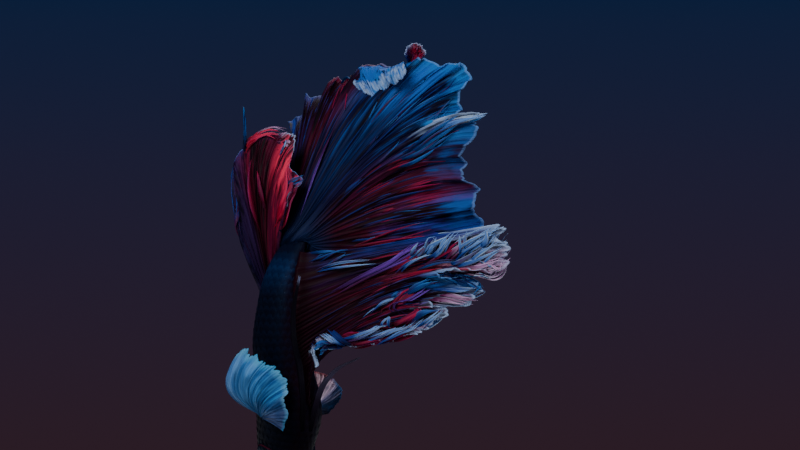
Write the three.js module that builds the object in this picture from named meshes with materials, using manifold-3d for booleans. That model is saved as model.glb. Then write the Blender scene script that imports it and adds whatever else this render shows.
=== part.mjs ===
// A male betta fish (Siamese fighting fish) of the long-finned, big-eared kind, life size and
// head down, on a small display stand. The fish hangs over the base with its back to the left
// and its belly turned to the right and forwards. Millimetres, +Z up, the origin in the middle
// of the base's underside.
import * as THREE from 'three';
import { mergeVertices } from 'three/addons/utils/BufferGeometryUtils.js';
import Module from 'manifold-3d';

// ---------------------------------------------------------------- driving dimensions
const GAP = 0.3;             // between any two pieces that touch
const FIN_THICKNESS = 0.6;   // of every fin's sheet
const SNOUT_Z = 14;          // height of the snout over the floor
const BODY_LENGTH = 47.5;    // snout to the root of the tail fin
const BODY_AROUND = 24;      // corners of the body's rings

const HEAD_END = 15.5;       // stations along the body where the pieces part
const TRUNK_MIDDLE = 26;
const TRUNK_END = 38;

const EYE_STATION = 5.6;
const EYE_RADIUS = 1.75;
const EYE_ANGLE = 100;       // degrees round the head from the belly line
const EYE_PROUD = 0.75;      // how far the ball's top stands out of the cheek
const EYE_ROWS = 7;

const MOUTH_DEPTH = 2.6;     // how far back the mouth is cut
const MOUTH_SLANT = 0.6;     // sine of the mouth's slope to the body's length
const MOUTH_LOW = 0.1;       // from the body's middle line towards the back
const JAW_BLOCK = { width: 12, depth: 6 };
const COVER_STATION = 11.4;  // middle of the gill cover
const COVER_ANGLE = 84;
const COVER_THICKNESS = 0.9;
const COVER_REACH = { out: 3.2, down: 3.5, along: 3.3 };

const PECTORAL_STATION = 19.6;
const PECTORAL_TURN = 0.12;    // radians of the root's middle past the flank
const PECTORAL_BASES = {        // how far each root rises and turns, and the fin's mesh
  left: { rise: 1.0, spread: 0.35, folds: 5, across: 22 },
  right: { rise: 1.8, spread: 0.15, folds: 3, across: 12 },
};
const PELVIC_STATION = 18.2;
const PELVIC_WIDTH = 1.1;
const PELVIC_ANGLE = 0.16;   // radians from the belly line to either root

const BASE_RADIUS = 30;
const BASE_HEIGHT = 5;
const BASE_CHAMFER = 0.6;
const BASE_SHOULDER = 1.6;
const ROD_RADIUS = 0.8;
const ROD_FOOT = { radius: 1.76, height: 0.9, taper: 1.5 };
const SADDLE_RADIUS = 1.5;
const SADDLE_HEIGHT = 2.0;
const SADDLES = [['stand_rod_nape', 9.2, Math.PI], ['stand_rod_throat', 9.8, 0]];

// The body's form at stations from the snout: how far its middle line bends in X and Y, its
// height to the back and to the belly, half its width, and how far the belly line is turned
// forwards from +X, in degrees.
const BODY_FORM = [
  // station, X, Y, back, belly, half width, turn
  [0.0, -1.2, 0.6, 0.45, 0.75, 0.90, 60],
  [2.0, -1.3, 0.4, 1.55, 2.15, 1.80, 60],
  [5.0, -1.5, 0.0, 2.95, 3.50, 2.75, 60],
  [9.0, -1.8, -0.7, 4.35, 4.80, 3.65, 60],
  [14.0, -2.3, -1.6, 5.35, 5.65, 4.35, 60],
  [20.0, -1.8, -2.6, 6.25, 6.90, 5.00, 59],
  [26.0, -2.5, -3.4, 6.00, 6.15, 4.40, 57],
  [31.0, -3.3, -3.8, 5.45, 5.45, 3.70, 53],
  [36.0, -3.3, -3.8, 4.70, 4.75, 3.00, 49],
  [41.0, -2.9, -3.2, 4.05, 3.95, 2.20, 47],
  [44.5, -1.9, -2.3, 3.55, 3.45, 1.60, 46],
  [BODY_LENGTH, -0.8, -1.2, 3.25, 3.15, 1.00, 46],
];

// The rays of the fins: a ray's place across the fin from 0 to 1, its root, then X, height over
// the snout and Y half way along it and at its tip, and the height of the folds there. The
// tail fin's roots are shares of the body's half height at its end, from middle to belly.
const TAIL_RAYS = [
  [0, 1, 8.7, 43.3, -4, 20.4, 40.5, -8, 0.3],
  [0.03, 0.94, 12.6, 44.3, -4.3, 26.5, 44.3, -9, 0.3],
  [0.07, 0.86, 14.9, 47.2, -4.5, 30, 49.3, -10, 0.4],
  [0.15, 0.66, 14.5, 52.4, -4.5, 29.1, 55.3, -11, 0.6],
  [0.25, 0.45, 13.9, 57.6, -4.5, 26.6, 60.7, -11, 0.6],
  [0.325, 0.28, 14.2, 60.7, -5.5, 28.6, 65.8, -12, 0.6],
  [0.345, 0.24, 14.5, 61.5, -5.5, 29.6, 67.5, -12.5, 0.6],
  [0.39, 0.14, 13.2, 62.5, -4.5, 25.6, 66.5, -10, 0.9],
  [0.49, -0.06, 13.9, 64.5, -3.5, 27.2, 72.8, -7.5, 1],
  [0.55, -0.18, 13.9, 65.2, -3, 27.5, 75.6, -6, 1],
  [0.61, -0.3, 12.2, 65.9, -2, 24, 76.9, -3.5, 0.9],
  [0.7, -0.5, 8.2, 66.7, 0.5, 18.3, 77.7, 2, 0.8],
  [0.78, -0.66, 4.5, 66.8, 4.5, 10.4, 76.2, 10, 1.1],
  [0.88, -0.82, 1, 65, 8.5, 3.7, 73.7, 18.5, 1.2],
  [1, -1, -2.2, 62.1, 12, -2.6, 68.5, 26, 1],
];
// The roots of these two are stations along the belly line and the back.
const ANAL_RAYS = [
  [0, 21.5, 1.7, 29.2, -8.5, 2.9, 27.7, -10, 0.05],
  [0.1, 22.5, 2.8, 31.2, -9.2, 4.5, 31.4, -11.5, 0.1],
  [0.25, 24, 6.1, 31.7, -10, 12.4, 31.5, -13, 0.25],
  [0.4, 25.6, 9.8, 32.8, -10.8, 20.9, 33.8, -15, 0.3],
  [0.45, 26.3, 11.2, 34, -11, 23.9, 36.9, -15.5, 0.3],
  [0.49, 27, 11.1, 35.1, -11, 20.9, 37.8, -14.5, 0.35],
  [0.54, 28, 13, 36.5, -11, 26.6, 37.7, -17, 0.45],
  [0.59, 29.2, 14.3, 37.7, -11, 29.8, 40.3, -18, 0.45],
  [0.68, 31.5, 13.3, 39.7, -10, 23.1, 42.6, -16.5, 0.45],
  [0.8, 34.5, 15.5, 41.6, -10.5, 31.5, 42.8, -19.5, 0.6],
  [0.86, 36.2, 15.9, 42.9, -10.5, 33, 45.2, -20, 0.55],
  [0.95, 41, 14.3, 45.2, -9.8, 32.6, 49.4, -19, 0.45],
  [1, 45.5, 12, 46.8, -9, 32.2, 50.6, -18.5, 0.3],
];
const DORSAL_RAYS = [
  [0, 38.5, -9.1, 46.2, -2, -10.2, 50.8, -1.5, 0.2],
  [0.1, 39.2, -9.7, 50.5, -1, -11, 55.8, 1, 0.2],
  [0.28, 40.4, -8.8, 55.3, 1, -9.6, 63.5, 4.5, 0.4],
  [0.52, 41.8, -6.3, 56.8, 2.5, -3.9, 65.9, 5.5, 0.5],
  [0.61, 42.4, -4.9, 56.4, 1.5, -1.3, 65.5, 4, 0.4],
  [0.77, 43.5, -3.1, 54.7, -1, -1.8, 60, 0, 0.3],
  [0.86, 44, -2.4, 53.4, -2, 0.6, 57.7, -1.5, 0.3],
  [1, 45, -3, 50.1, -2, -2, 53.4, -3, 0.2],
];
// The roots of the pectoral fins are shares of a base line across the flank.
const LEFT_PECTORAL_RAYS = [
  [0, -0.5, -3.9, 18.3, -9.5, -2.2, 17.2, -11, 0.1],
  [0.1, -0.4, -3.9, 19.5, -9.8, -1.4, 19.8, -11.3, 0.2],
  [0.22, -0.28, -4.4, 20.9, -10, -2, 22.6, -11.5, 0.3],
  [0.32, -0.18, -5, 21.9, -10, -1.2, 24.2, -11.5, 0.3],
  [0.44, -0.06, -6.1, 23, -10, -2.5, 26.5, -11.3, 0.3],
  [0.56, 0.06, -7.3, 23.6, -9.6, -3.8, 27.7, -11, 0.3],
  [0.68, 0.18, -8.4, 24.1, -9.2, -5.9, 28.7, -10.5, 0.3],
  [0.78, 0.28, -9.6, 24.2, -8.7, -7.4, 29.7, -9.9, 0.25],
  [0.87, 0.37, -10.6, 24.2, -8.1, -8.4, 30.5, -9.2, 0.15],
  [0.94, 0.44, -11.1, 24, -7.5, -9.4, 29.8, -8.5, 0.1],
  [1, 0.5, -11.3, 23.4, -7, -10.3, 28.3, -7.9, 0.05],
];
const RIGHT_PECTORAL_RAYS = [
  [0, -0.5, 3.6, 18.9, 1.1, 4.6, 19, 1.2, 0.03],
  [0.2, -0.3, 4.4, 20, 1.5, 6.2, 20.8, 1.8, 0.08],
  [0.4, -0.1, 4.7, 21.1, 1.8, 6.9, 22.7, 2.2, 0.1],
  [0.6, 0.1, 4.1, 22.3, 2, 5.7, 24.4, 2.6, 0.1],
  [0.8, 0.3, 3.2, 23.1, 2.1, 4, 25.5, 2.8, 0.1],
  [1, 0.5, 2.2, 23.6, 2.2, 2, 26, 2.8, 0.05],
];
// The pelvic fins are ribbons. Each row is a point of the ribbon's middle line after its root:
// X, Y and height over the snout.
const LEFT_PELVIC_LINE = [
  [0.9, -10.2, 22.5], [0.5, -10.3, 27], [-0.5, -9.9, 32], [-0.6, -9.4, 36.5], [0.3, -8.2, 42],
];
const RIGHT_PELVIC_LINE = [
  [3.0, -8.6, 21.6], [4.2, -8.4, 24.6], [6.2, -8.2, 26.9], [10.0, -8.8, 28.9],
];

const COLOURS = {
  skin: 0x1d2440, belly: 0x331a2c, cover: 0x1b2b4a, tail: 0x2f6f95, anal: 0x8a2338,
  dorsal: 0xa82c3e, pectoral: 0x74b7d4, pelvic: 0x6e1f33, eye: 0x14161c, base: 0x2b211b,
  brass: 0xb08d4a,
};

// ---------------------------------------------------------------- curves and vectors
const radians = THREE.MathUtils.degToRad;

// A smooth curve through rows of [place, value, value ...], read at one place.
function along(rows, place) {
  const last = rows.length - 1;
  const slope = (a, b, k) => (rows[b][k] - rows[a][k]) / (rows[b][0] - rows[a][0]);
  const tangent = (i, k) => {
    if (i === 0) return slope(0, 1, k);
    if (i === last) return slope(last - 1, last, k);
    const before = rows[i][0] - rows[i - 1][0];
    const after = rows[i + 1][0] - rows[i][0];
    return (slope(i - 1, i, k) * after + slope(i, i + 1, k) * before) / (before + after);
  };
  let i = 0;
  while (i < last - 1 && place >= rows[i + 1][0]) i += 1;
  const step = rows[i + 1][0] - rows[i][0];
  const t = (place - rows[i][0]) / step;
  const values = [];
  for (let k = 1; k < rows[0].length; k += 1) {
    values.push((2 * t ** 3 - 3 * t ** 2 + 1) * rows[i][k]
      + (t ** 3 - 2 * t ** 2 + t) * step * tangent(i, k)
      + (3 * t ** 2 - 2 * t ** 3) * rows[i + 1][k]
      + (t ** 3 - t ** 2) * step * tangent(i + 1, k));
  }
  return values;
}

// The body's middle point at a station, its directions to the tail, belly and left side, and
// its three radii.
function bodyFrame(station) {
  const [x, y, back, belly, width, turn] = along(BODY_FORM, station);
  const before = along(BODY_FORM, Math.max(station - 0.05, 0));
  const after = along(BODY_FORM, Math.min(station + 0.05, BODY_LENGTH));
  const step = Math.min(station + 0.05, BODY_LENGTH) - Math.max(station - 0.05, 0);
  const toTail = new THREE.Vector3(after[0] - before[0], after[1] - before[1], step).normalize();
  const toBelly = new THREE.Vector3(Math.cos(radians(turn)), -Math.sin(radians(turn)), 0);
  toBelly.addScaledVector(toTail, -toBelly.dot(toTail)).normalize();
  const toLeft = new THREE.Vector3().crossVectors(toBelly, toTail);
  const middle = new THREE.Vector3(x, y, SNOUT_Z + station);
  return { middle, toTail, toBelly, toLeft, back, belly, width };
}

// A point on the skin: angle 0 is the belly line, 90 degrees the left flank, 180 the back.
// outwards moves it off the skin.
function skinPoint(station, angle, outwards = 0) {
  const frame = bodyFrame(station);
  const up = Math.cos(angle);
  const height = (up > 0 ? frame.belly : frame.back) + outwards;
  return frame.middle.clone()
    .addScaledVector(frame.toBelly, height * up)
    .addScaledVector(frame.toLeft, (frame.width + outwards) * Math.sin(angle));
}

// ---------------------------------------------------------------- solids
const wasm = await Module();
wasm.setup();

function geometryFrom(points, triangles) {
  const geometry = new THREE.BufferGeometry();
  const flat = points.flatMap((point) => [point.x, point.y, point.z]);
  geometry.setAttribute('position', new THREE.Float32BufferAttribute(flat, 3));
  geometry.setIndex(triangles);
  return geometry;
}

function toManifold(geometry) {
  const bare = geometry.clone();
  bare.deleteAttribute('normal');
  bare.deleteAttribute('uv');
  const merged = mergeVertices(bare, 1e-4);
  return new wasm.Manifold(new wasm.Mesh({
    numProp: 3,
    vertProperties: new Float32Array(merged.getAttribute('position').array),
    triVerts: new Uint32Array(merged.getIndex().array),
  }));
}

function fromManifold(solid) {
  const mesh = solid.getMesh();
  const geometry = new THREE.BufferGeometry();
  geometry.setAttribute('position', new THREE.Float32BufferAttribute(mesh.vertProperties, 3));
  geometry.setIndex([...mesh.triVerts]);
  return geometry;
}

// A closed length of the body between two stations, with its skin moved outwards or inwards.
function bodyLength(from, to, rings, outwards = 0, around = BODY_AROUND) {
  const points = [];
  const triangles = [];
  for (let i = 0; i <= rings; i += 1) {
    const station = from + (to - from) * i / rings;
    for (let j = 0; j < around; j += 1) {
      points.push(skinPoint(station, 2 * Math.PI * j / around, outwards));
    }
  }
  for (let i = 0; i < rings; i += 1) {
    for (let j = 0; j < around; j += 1) {
      const a = i * around + j;
      const b = i * around + (j + 1) % around;
      triangles.push(a, b + around, b, a, a + around, b + around);
    }
  }
  const front = points.push(bodyFrame(from).middle) - 1;
  const rear = points.push(bodyFrame(to).middle) - 1;
  for (let j = 0; j < around; j += 1) {
    const next = (j + 1) % around;
    triangles.push(front, j, next);
    triangles.push(rear, rings * around + next, rings * around + j);
  }
  return geometryFrom(points, triangles);
}

// A closed sheet on a surface of two parameters, each from 0 to 1, with half its thickness on
// each side.
function sheet(surface, across, length, thickness = FIN_THICKNESS) {
  const near = [];
  const far = [];
  const small = 1e-3;
  for (let i = 0; i <= across; i += 1) {
    for (let j = 0; j <= length; j += 1) {
      const u = i / across;
      const v = j / length;
      const alongU = surface(Math.min(u + small, 1), v).sub(surface(Math.max(u - small, 0), v));
      const alongV = surface(u, Math.min(v + small, 1)).sub(surface(u, Math.max(v - small, 0)));
      const normal = alongU.cross(alongV).normalize().multiplyScalar(thickness / 2);
      near.push(surface(u, v).add(normal));
      far.push(surface(u, v).sub(normal));
    }
  }
  const row = length + 1;
  const count = near.length;
  const triangles = [];
  const quad = (a, b, c, d) => triangles.push(a, b, c, a, c, d);
  for (let i = 0; i < across; i += 1) {
    for (let j = 0; j < length; j += 1) {
      const a = i * row + j;
      quad(a, a + row, a + row + 1, a + 1);
      quad(count + a, count + a + 1, count + a + row + 1, count + a + row);
    }
    const root = i * row;
    const tip = root + length;
    quad(root, count + root, count + root + row, root + row);
    quad(tip, tip + row, count + tip + row, count + tip);
  }
  for (let j = 0; j < length; j += 1) {
    const end = across * row + j;
    quad(j, j + 1, count + j + 1, count + j);
    quad(end, count + end, count + end + 1, end + 1);
  }
  return geometryFrom([...near, ...far], triangles);
}

// A fin's surface. A ray is the parabola from its root through its half-way point to its tip.
// The sheet waves out of its plane in folds that grow towards the margin and slide sideways at
// twice their rate, so that deep folds overlap.
function finSurface({ root, rays, folds, growth }) {
  const parabola = (u, v) => {
    const [start, x, height, y, tipX, tipHeight, tipY] = along(rays, u);
    return root(start).multiplyScalar((1 - v) * (1 - 2 * v))
      .addScaledVector(new THREE.Vector3(x, y, SNOUT_Z + height), 4 * v * (1 - v))
      .addScaledVector(new THREE.Vector3(tipX, tipY, SNOUT_Z + tipHeight), v * (2 * v - 1));
  };
  return (u, v) => {
    const late = Math.max(v, 0.5);
    const sideways = parabola(Math.min(u + 2e-3, 1), late).sub(parabola(Math.max(u - 2e-3, 0), late));
    const ray = parabola(u, v + 0.02).sub(parabola(u, v - 0.02)).normalize();
    sideways.addScaledVector(ray, -sideways.dot(ray)).normalize();
    const normal = new THREE.Vector3().crossVectors(ray, sideways);
    const height = along(rays, u)[7] * v ** growth;
    const wander = 0.7 * Math.sin(2 * Math.PI * 1.3 * u + folds)
      + 0.5 * Math.sin(2 * Math.PI * 2.9 * u + 2 * folds);
    return parabola(u, v)
      .addScaledVector(normal, height * Math.sin(2 * Math.PI * folds * u + wander))
      .addScaledVector(sideways, 0.5 * height * Math.sin(4 * Math.PI * folds * u + 0.6));
  };
}

// A round tapered stud or rod standing on Z, as a lathe profile of [radius, height] pairs.
function turned(profile, segments) {
  const points = profile.map(([radius, height]) => new THREE.Vector2(radius, height));
  return new THREE.LatheGeometry(points, segments).rotateX(Math.PI / 2);
}

// ---------------------------------------------------------------- the model
const fish = new THREE.Group();

function add(name, geometry, colour, roughness = 0.5, metalness = 0) {
  const material = new THREE.MeshStandardMaterial({ color: colour, roughness, metalness });
  const mesh = new THREE.Mesh(geometry, material);
  mesh.name = name;
  fish.add(mesh);
}

// Head, with the lower jaw, the gill covers and the eyes as pieces of their own.
{
  const headLength = HEAD_END - GAP / 2;
  let head = toManifold(bodyLength(0, headLength, 10));
  const inner = toManifold(bodyLength(0, headLength + 1, 8, -COVER_THICKNESS, 20));
  const innermost = toManifold(bodyLength(0, headLength + 1, 8, -COVER_THICKNESS - GAP, 20));

  // The gill cover is a thin plate of the cheek inside an upright ellipsoid.
  for (const [side, name] of [[1, 'gill_cover_left'], [-1, 'gill_cover_right']]) {
    const frame = bodyFrame(COVER_STATION);
    const place = new THREE.Matrix4().makeBasis(frame.toLeft, frame.toBelly, frame.toTail)
      .setPosition(skinPoint(COVER_STATION, side * radians(COVER_ANGLE)));
    const zone = (grow) => toManifold(new THREE.SphereGeometry(1, 16, 8)
      .scale(COVER_REACH.out + grow, COVER_REACH.down + grow, COVER_REACH.along + grow)
      .applyMatrix4(place));
    add(name, fromManifold(head.intersect(zone(0)).subtract(inner)), COLOURS.cover, 0.35);
    head = head.subtract(zone(GAP).subtract(innermost));
  }

  // The eyeball sits in a socket that it leaves a gap to.
  for (const [side, name] of [[1, 'eye_left'], [-1, 'eye_right']]) {
    const angle = side * radians(EYE_ANGLE);
    const surface = skinPoint(EYE_STATION, angle);
    const outer = skinPoint(EYE_STATION, angle, 1);
    const outwards = outer.sub(surface).normalize();
    const centre = surface.addScaledVector(outwards, EYE_PROUD - EYE_RADIUS);
    const ball = (radius, rows) => new THREE.SphereGeometry(radius, 2 * rows, rows)
      .translate(centre.x, centre.y, centre.z);
    add(name, ball(EYE_RADIUS, EYE_ROWS), COLOURS.eye, 0.1);
    head = head.subtract(toManifold(ball(EYE_RADIUS + GAP, EYE_ROWS)));
  }

  // The mouth opens upwards: a slanting slot parts the lower jaw from the head.
  const frame = bodyFrame(0);
  const slant = frame.toTail.clone().multiplyScalar(Math.sqrt(1 - MOUTH_SLANT ** 2))
    .addScaledVector(frame.toBelly, MOUTH_SLANT);
  const across = frame.toLeft;
  const through = new THREE.Vector3().crossVectors(slant, across);
  const jawZone = (grow) => {
    const box = new THREE.BoxGeometry(MOUTH_DEPTH * 2 + grow, JAW_BLOCK.width, JAW_BLOCK.depth + grow);
    box.translate(0, 0, JAW_BLOCK.depth / 2);
    const place = new THREE.Matrix4().makeBasis(slant, across, through)
      .setPosition(frame.middle.clone().addScaledVector(frame.toBelly, -MOUTH_LOW));
    return toManifold(box.applyMatrix4(place));
  };
  add('lower_jaw', fromManifold(head.intersect(jawZone(0))), COLOURS.belly);
  head = head.subtract(jawZone(2 * GAP));
  add('head', fromManifold(head), COLOURS.skin);
}

// Trunk and tail, in three lengths.
add('trunk_front', bodyLength(HEAD_END + GAP / 2, TRUNK_MIDDLE - GAP / 2, 5), COLOURS.skin);
add('trunk_rear', bodyLength(TRUNK_MIDDLE + GAP / 2, TRUNK_END - GAP / 2, 5), COLOURS.skin);
add('tail_root', bodyLength(TRUNK_END + GAP / 2, BODY_LENGTH, 5), COLOURS.skin);

// Tail fin: a half moon of rays from the end of the body, cupped away from the front.
{
  const end = bodyFrame(BODY_LENGTH);
  const root = (share) => end.middle.clone().addScaledVector(end.toTail, GAP + 0.1)
    .addScaledVector(end.toBelly, share * (end.belly - 0.1));
  const surface = finSurface({ root, rays: TAIL_RAYS, folds: 11, growth: 1.5 });
  add('tail_fin', sheet(surface, 62, 7), COLOURS.tail, 0.4);
}

// Anal and dorsal fins: long rays swept back from the belly line and from the back.
for (const [name, rays, angle, folds, growth, across, colour] of [
  ['anal_fin', ANAL_RAYS, 0, 9, 1.4, 44, COLOURS.anal],
  ['dorsal_fin', DORSAL_RAYS, Math.PI, 4, 1.1, 24, COLOURS.dorsal],
]) {
  const root = (station) => skinPoint(station, angle, GAP + 0.2);
  add(name, sheet(finSurface({ root, rays, folds, growth }), across, 7), colour, 0.4);
}

// Pectoral fins: broad fans like ears, one on each flank behind the gill cover.
for (const { side, name, rays, rise, spread, folds, across } of [
  { side: 1, name: 'pectoral_fin_left', rays: LEFT_PECTORAL_RAYS, ...PECTORAL_BASES.left },
  { side: -1, name: 'pectoral_fin_right', rays: RIGHT_PECTORAL_RAYS, ...PECTORAL_BASES.right },
]) {
  const root = (share) => skinPoint(PECTORAL_STATION + rise * share,
    side * (Math.PI / 2 + PECTORAL_TURN + spread * share), FIN_THICKNESS);
  add(name, sheet(finSurface({ root, rays, folds, growth: 1.3 }), across, 4), COLOURS.pectoral, 0.4);
}

// Pelvic fins: narrow ribbons that trail from under the throat.
for (const [angle, name, line] of [
  [PELVIC_ANGLE, 'pelvic_fin_left', LEFT_PELVIC_LINE],
  [-PELVIC_ANGLE, 'pelvic_fin_right', RIGHT_PELVIC_LINE],
]) {
  const start = skinPoint(PELVIC_STATION, angle, GAP + 0.2);
  const rest = line.map(([x, y, height]) => new THREE.Vector3(x, y, SNOUT_Z + height));
  const curve = new THREE.CatmullRomCurve3([start, ...rest]);
  const sideways = bodyFrame(PELVIC_STATION).toLeft;
  const surface = (u, v) => curve.getPoint(v)
    .addScaledVector(sideways, (u - 0.5) * PELVIC_WIDTH * (0.45 + Math.sin(Math.PI * (0.1 + 0.75 * v))));
  add(name, sheet(surface, 2, 14), COLOURS.pelvic, 0.4);
}

// ---------------------------------------------------------------- the stand
add('stand_base', turned([
  [0, 0], [BASE_RADIUS - BASE_CHAMFER, 0], [BASE_RADIUS, BASE_CHAMFER],
  [BASE_RADIUS, BASE_HEIGHT - BASE_SHOULDER],
  [BASE_RADIUS - BASE_SHOULDER * 0.3, BASE_HEIGHT - BASE_SHOULDER * 0.3],
  [BASE_RADIUS - BASE_SHOULDER, BASE_HEIGHT], [0, BASE_HEIGHT],
], 40), COLOURS.base, 0.4);

// Each rod ends in a saddle that is hollowed to the head and leaves a gap to it.
const clearance = toManifold(bodyLength(0, HEAD_END, 10, GAP));
for (const [name, station, angle] of SADDLES) {
  const touch = skinPoint(station, angle, ROD_RADIUS);
  const rise = touch.z - BASE_HEIGHT;
  const rod = toManifold(turned([
    [0, GAP], [ROD_FOOT.radius, GAP], [ROD_FOOT.radius, ROD_FOOT.height], [ROD_RADIUS, ROD_FOOT.taper],
    [ROD_RADIUS, rise - SADDLE_HEIGHT], [SADDLE_RADIUS, rise - SADDLE_HEIGHT / 2],
    [SADDLE_RADIUS, rise], [0, rise],
  ], 12).translate(touch.x, touch.y, BASE_HEIGHT));
  add(name, fromManifold(rod.subtract(clearance)), COLOURS.brass, 0.3, 1);
}

export default fish;
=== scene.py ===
"""A life-size betta fish, head down with its fins spread, on a small display stand.

The fish is laid out along its body: a station is a distance from the snout, and an angle goes
round the body from the belly line over the left flank to the back. Each fin is a sheet of two
parameters, u from its first ray to its last and v from its root to its margin. Metres.
"""
import math

import bpy
import numpy as np
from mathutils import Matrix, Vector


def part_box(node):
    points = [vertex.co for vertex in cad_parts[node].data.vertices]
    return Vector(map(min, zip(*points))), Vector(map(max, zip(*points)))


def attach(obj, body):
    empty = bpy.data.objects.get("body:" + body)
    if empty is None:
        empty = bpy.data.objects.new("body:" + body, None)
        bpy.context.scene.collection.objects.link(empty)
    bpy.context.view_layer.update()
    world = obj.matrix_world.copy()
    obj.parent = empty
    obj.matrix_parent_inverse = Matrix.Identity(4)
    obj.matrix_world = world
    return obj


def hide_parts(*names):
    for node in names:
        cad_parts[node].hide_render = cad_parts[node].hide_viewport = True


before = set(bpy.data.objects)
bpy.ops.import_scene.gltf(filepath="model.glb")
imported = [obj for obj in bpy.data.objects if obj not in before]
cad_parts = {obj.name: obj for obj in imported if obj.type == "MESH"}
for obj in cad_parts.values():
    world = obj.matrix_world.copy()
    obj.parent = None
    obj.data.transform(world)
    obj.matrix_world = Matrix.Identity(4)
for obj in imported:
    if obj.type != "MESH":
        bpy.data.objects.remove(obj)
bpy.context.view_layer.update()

MM = 0.001

# ------------------------------------------------------------------ the studio
# A round pale table top under the model, a surround that is plum below and navy above, and three
# broad soft lamps: one high at the front left, one at the right and one behind for the fins' edges.
CAMERA_X = 16.5 * MM
CAMERA_Z = 64.3 * MM
CAMERA_DISTANCE = 367 * MM
VIEW_WIDTH = 132 * MM        # across the view at the fish
SENSOR_WIDTH = 36            # mm
PLUM, NAVY_SKY = (0.034, 0.0155, 0.022), (0.0045, 0.0155, 0.052)
HORIZON = 0.12               # half of the upward share over which one turns to the other
TABLE_RADIUS, TABLE_SIDES, TABLE_HUE = 0.20, 96, (0.62, 0.62, 0.60, 1)

camera_data = bpy.data.cameras.new("camera")
camera_data.sensor_width = SENSOR_WIDTH
camera_data.lens = SENSOR_WIDTH * CAMERA_DISTANCE / VIEW_WIDTH
camera_data.clip_start = 0.01
camera = bpy.data.objects.new("camera", camera_data)
camera.location = (CAMERA_X, -CAMERA_DISTANCE, CAMERA_Z)
camera.rotation_euler = (math.radians(90), 0, 0)
bpy.context.collection.objects.link(camera)
bpy.context.scene.camera = camera


def lamp(name, place, target, width, watts, colour):
    """A square area lamp of a width at a place, turned to a target point."""
    data = bpy.data.lights.new(name, "AREA")
    data.size = width
    data.energy = watts
    data.color = colour
    piece = bpy.data.objects.new(name, data)
    piece.location = place
    away = np.array(place) - np.array(target)
    level = math.hypot(away[0], away[1])
    piece.rotation_euler = (math.atan2(level, away[2]), 0, math.atan2(away[1], away[0]) + math.pi / 2)
    bpy.context.collection.objects.link(piece)


def node(tree, kind, sockets=(), **settings):
    """A shader node with its settings and its sockets, each set to a value or linked to another
    node's output."""
    made = tree.nodes.new(kind)
    for label, value in settings.items():
        setattr(made, label, value)
    for label, value in dict(sockets).items():
        if isinstance(value, bpy.types.NodeSocket):
            tree.links.new(value, made.inputs[label])
        else:
            made.inputs[label].default_value = value
    return made


def ramp(factor, *stops):
    """A colour ramp over a factor through stops of (place, value or colour)."""
    made = node(factor.id_data, "ShaderNodeValToRGB", {0: factor})
    elements = made.color_ramp.elements
    while len(elements) < len(stops):
        elements.new(0.5)
    for element, (place, shade) in zip(elements, stops):
        element.position = place
        colour = (shade,) * 3 if np.isscalar(shade) else shade
        element.color = (*colour, 1)
    return made.outputs[0]


def new_material(name, roughness, **constants):
    """A material and its shader, with constant sockets set by name."""
    material = bpy.data.materials.new(name)
    material.use_nodes = True
    shader = material.node_tree.nodes["Principled BSDF"]
    shader.inputs["Roughness"].default_value = roughness
    for label, value in constants.items():
        shader.inputs[label.replace("_", " ")].default_value = value
    return material, material.node_tree, shader


middle = (0.01, 0, 0.06)
lamp("front_lamp", (-0.30, -0.45, 0.50), middle, 0.40, 3.8, (1.0, 0.98, 0.96))
lamp("side_lamp", (0.50, -0.20, 0.25), middle, 0.35, 1.3, (0.95, 0.97, 1.0))
lamp("rim_lamp", (0.05, 0.45, 0.40), middle, 0.35, 0.6, (0.86, 0.93, 1.0))

world = bpy.data.worlds.new("surround")
bpy.context.scene.world = world
world.use_nodes = True
tree = world.node_tree
upward = node(tree, "ShaderNodeSeparateXYZ", {0: node(tree, "ShaderNodeTexCoord").outputs["Generated"]})
share = node(tree, "ShaderNodeMapRange",
             {"Value": upward.outputs[2], "From Min": -HORIZON, "From Max": HORIZON})
tree.links.new(ramp(share.outputs[0], (0, PLUM), (1, NAVY_SKY)), tree.nodes["Background"].inputs["Color"])

turns = np.linspace(0, 2 * np.pi, TABLE_SIDES, endpoint=False)
rim = np.stack([TABLE_RADIUS * np.cos(turns), TABLE_RADIUS * np.sin(turns), 0 * turns], -1)
table_mesh = bpy.data.meshes.new("table_top")
table_mesh.from_pydata(rim.tolist(), [], [list(range(TABLE_SIDES))])
table_top = bpy.data.objects.new("table_top", table_mesh)
bpy.context.collection.objects.link(table_top)
table_mesh.materials.append(new_material("pale_table", 0.8, Base_Color=TABLE_HUE)[0])

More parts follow.
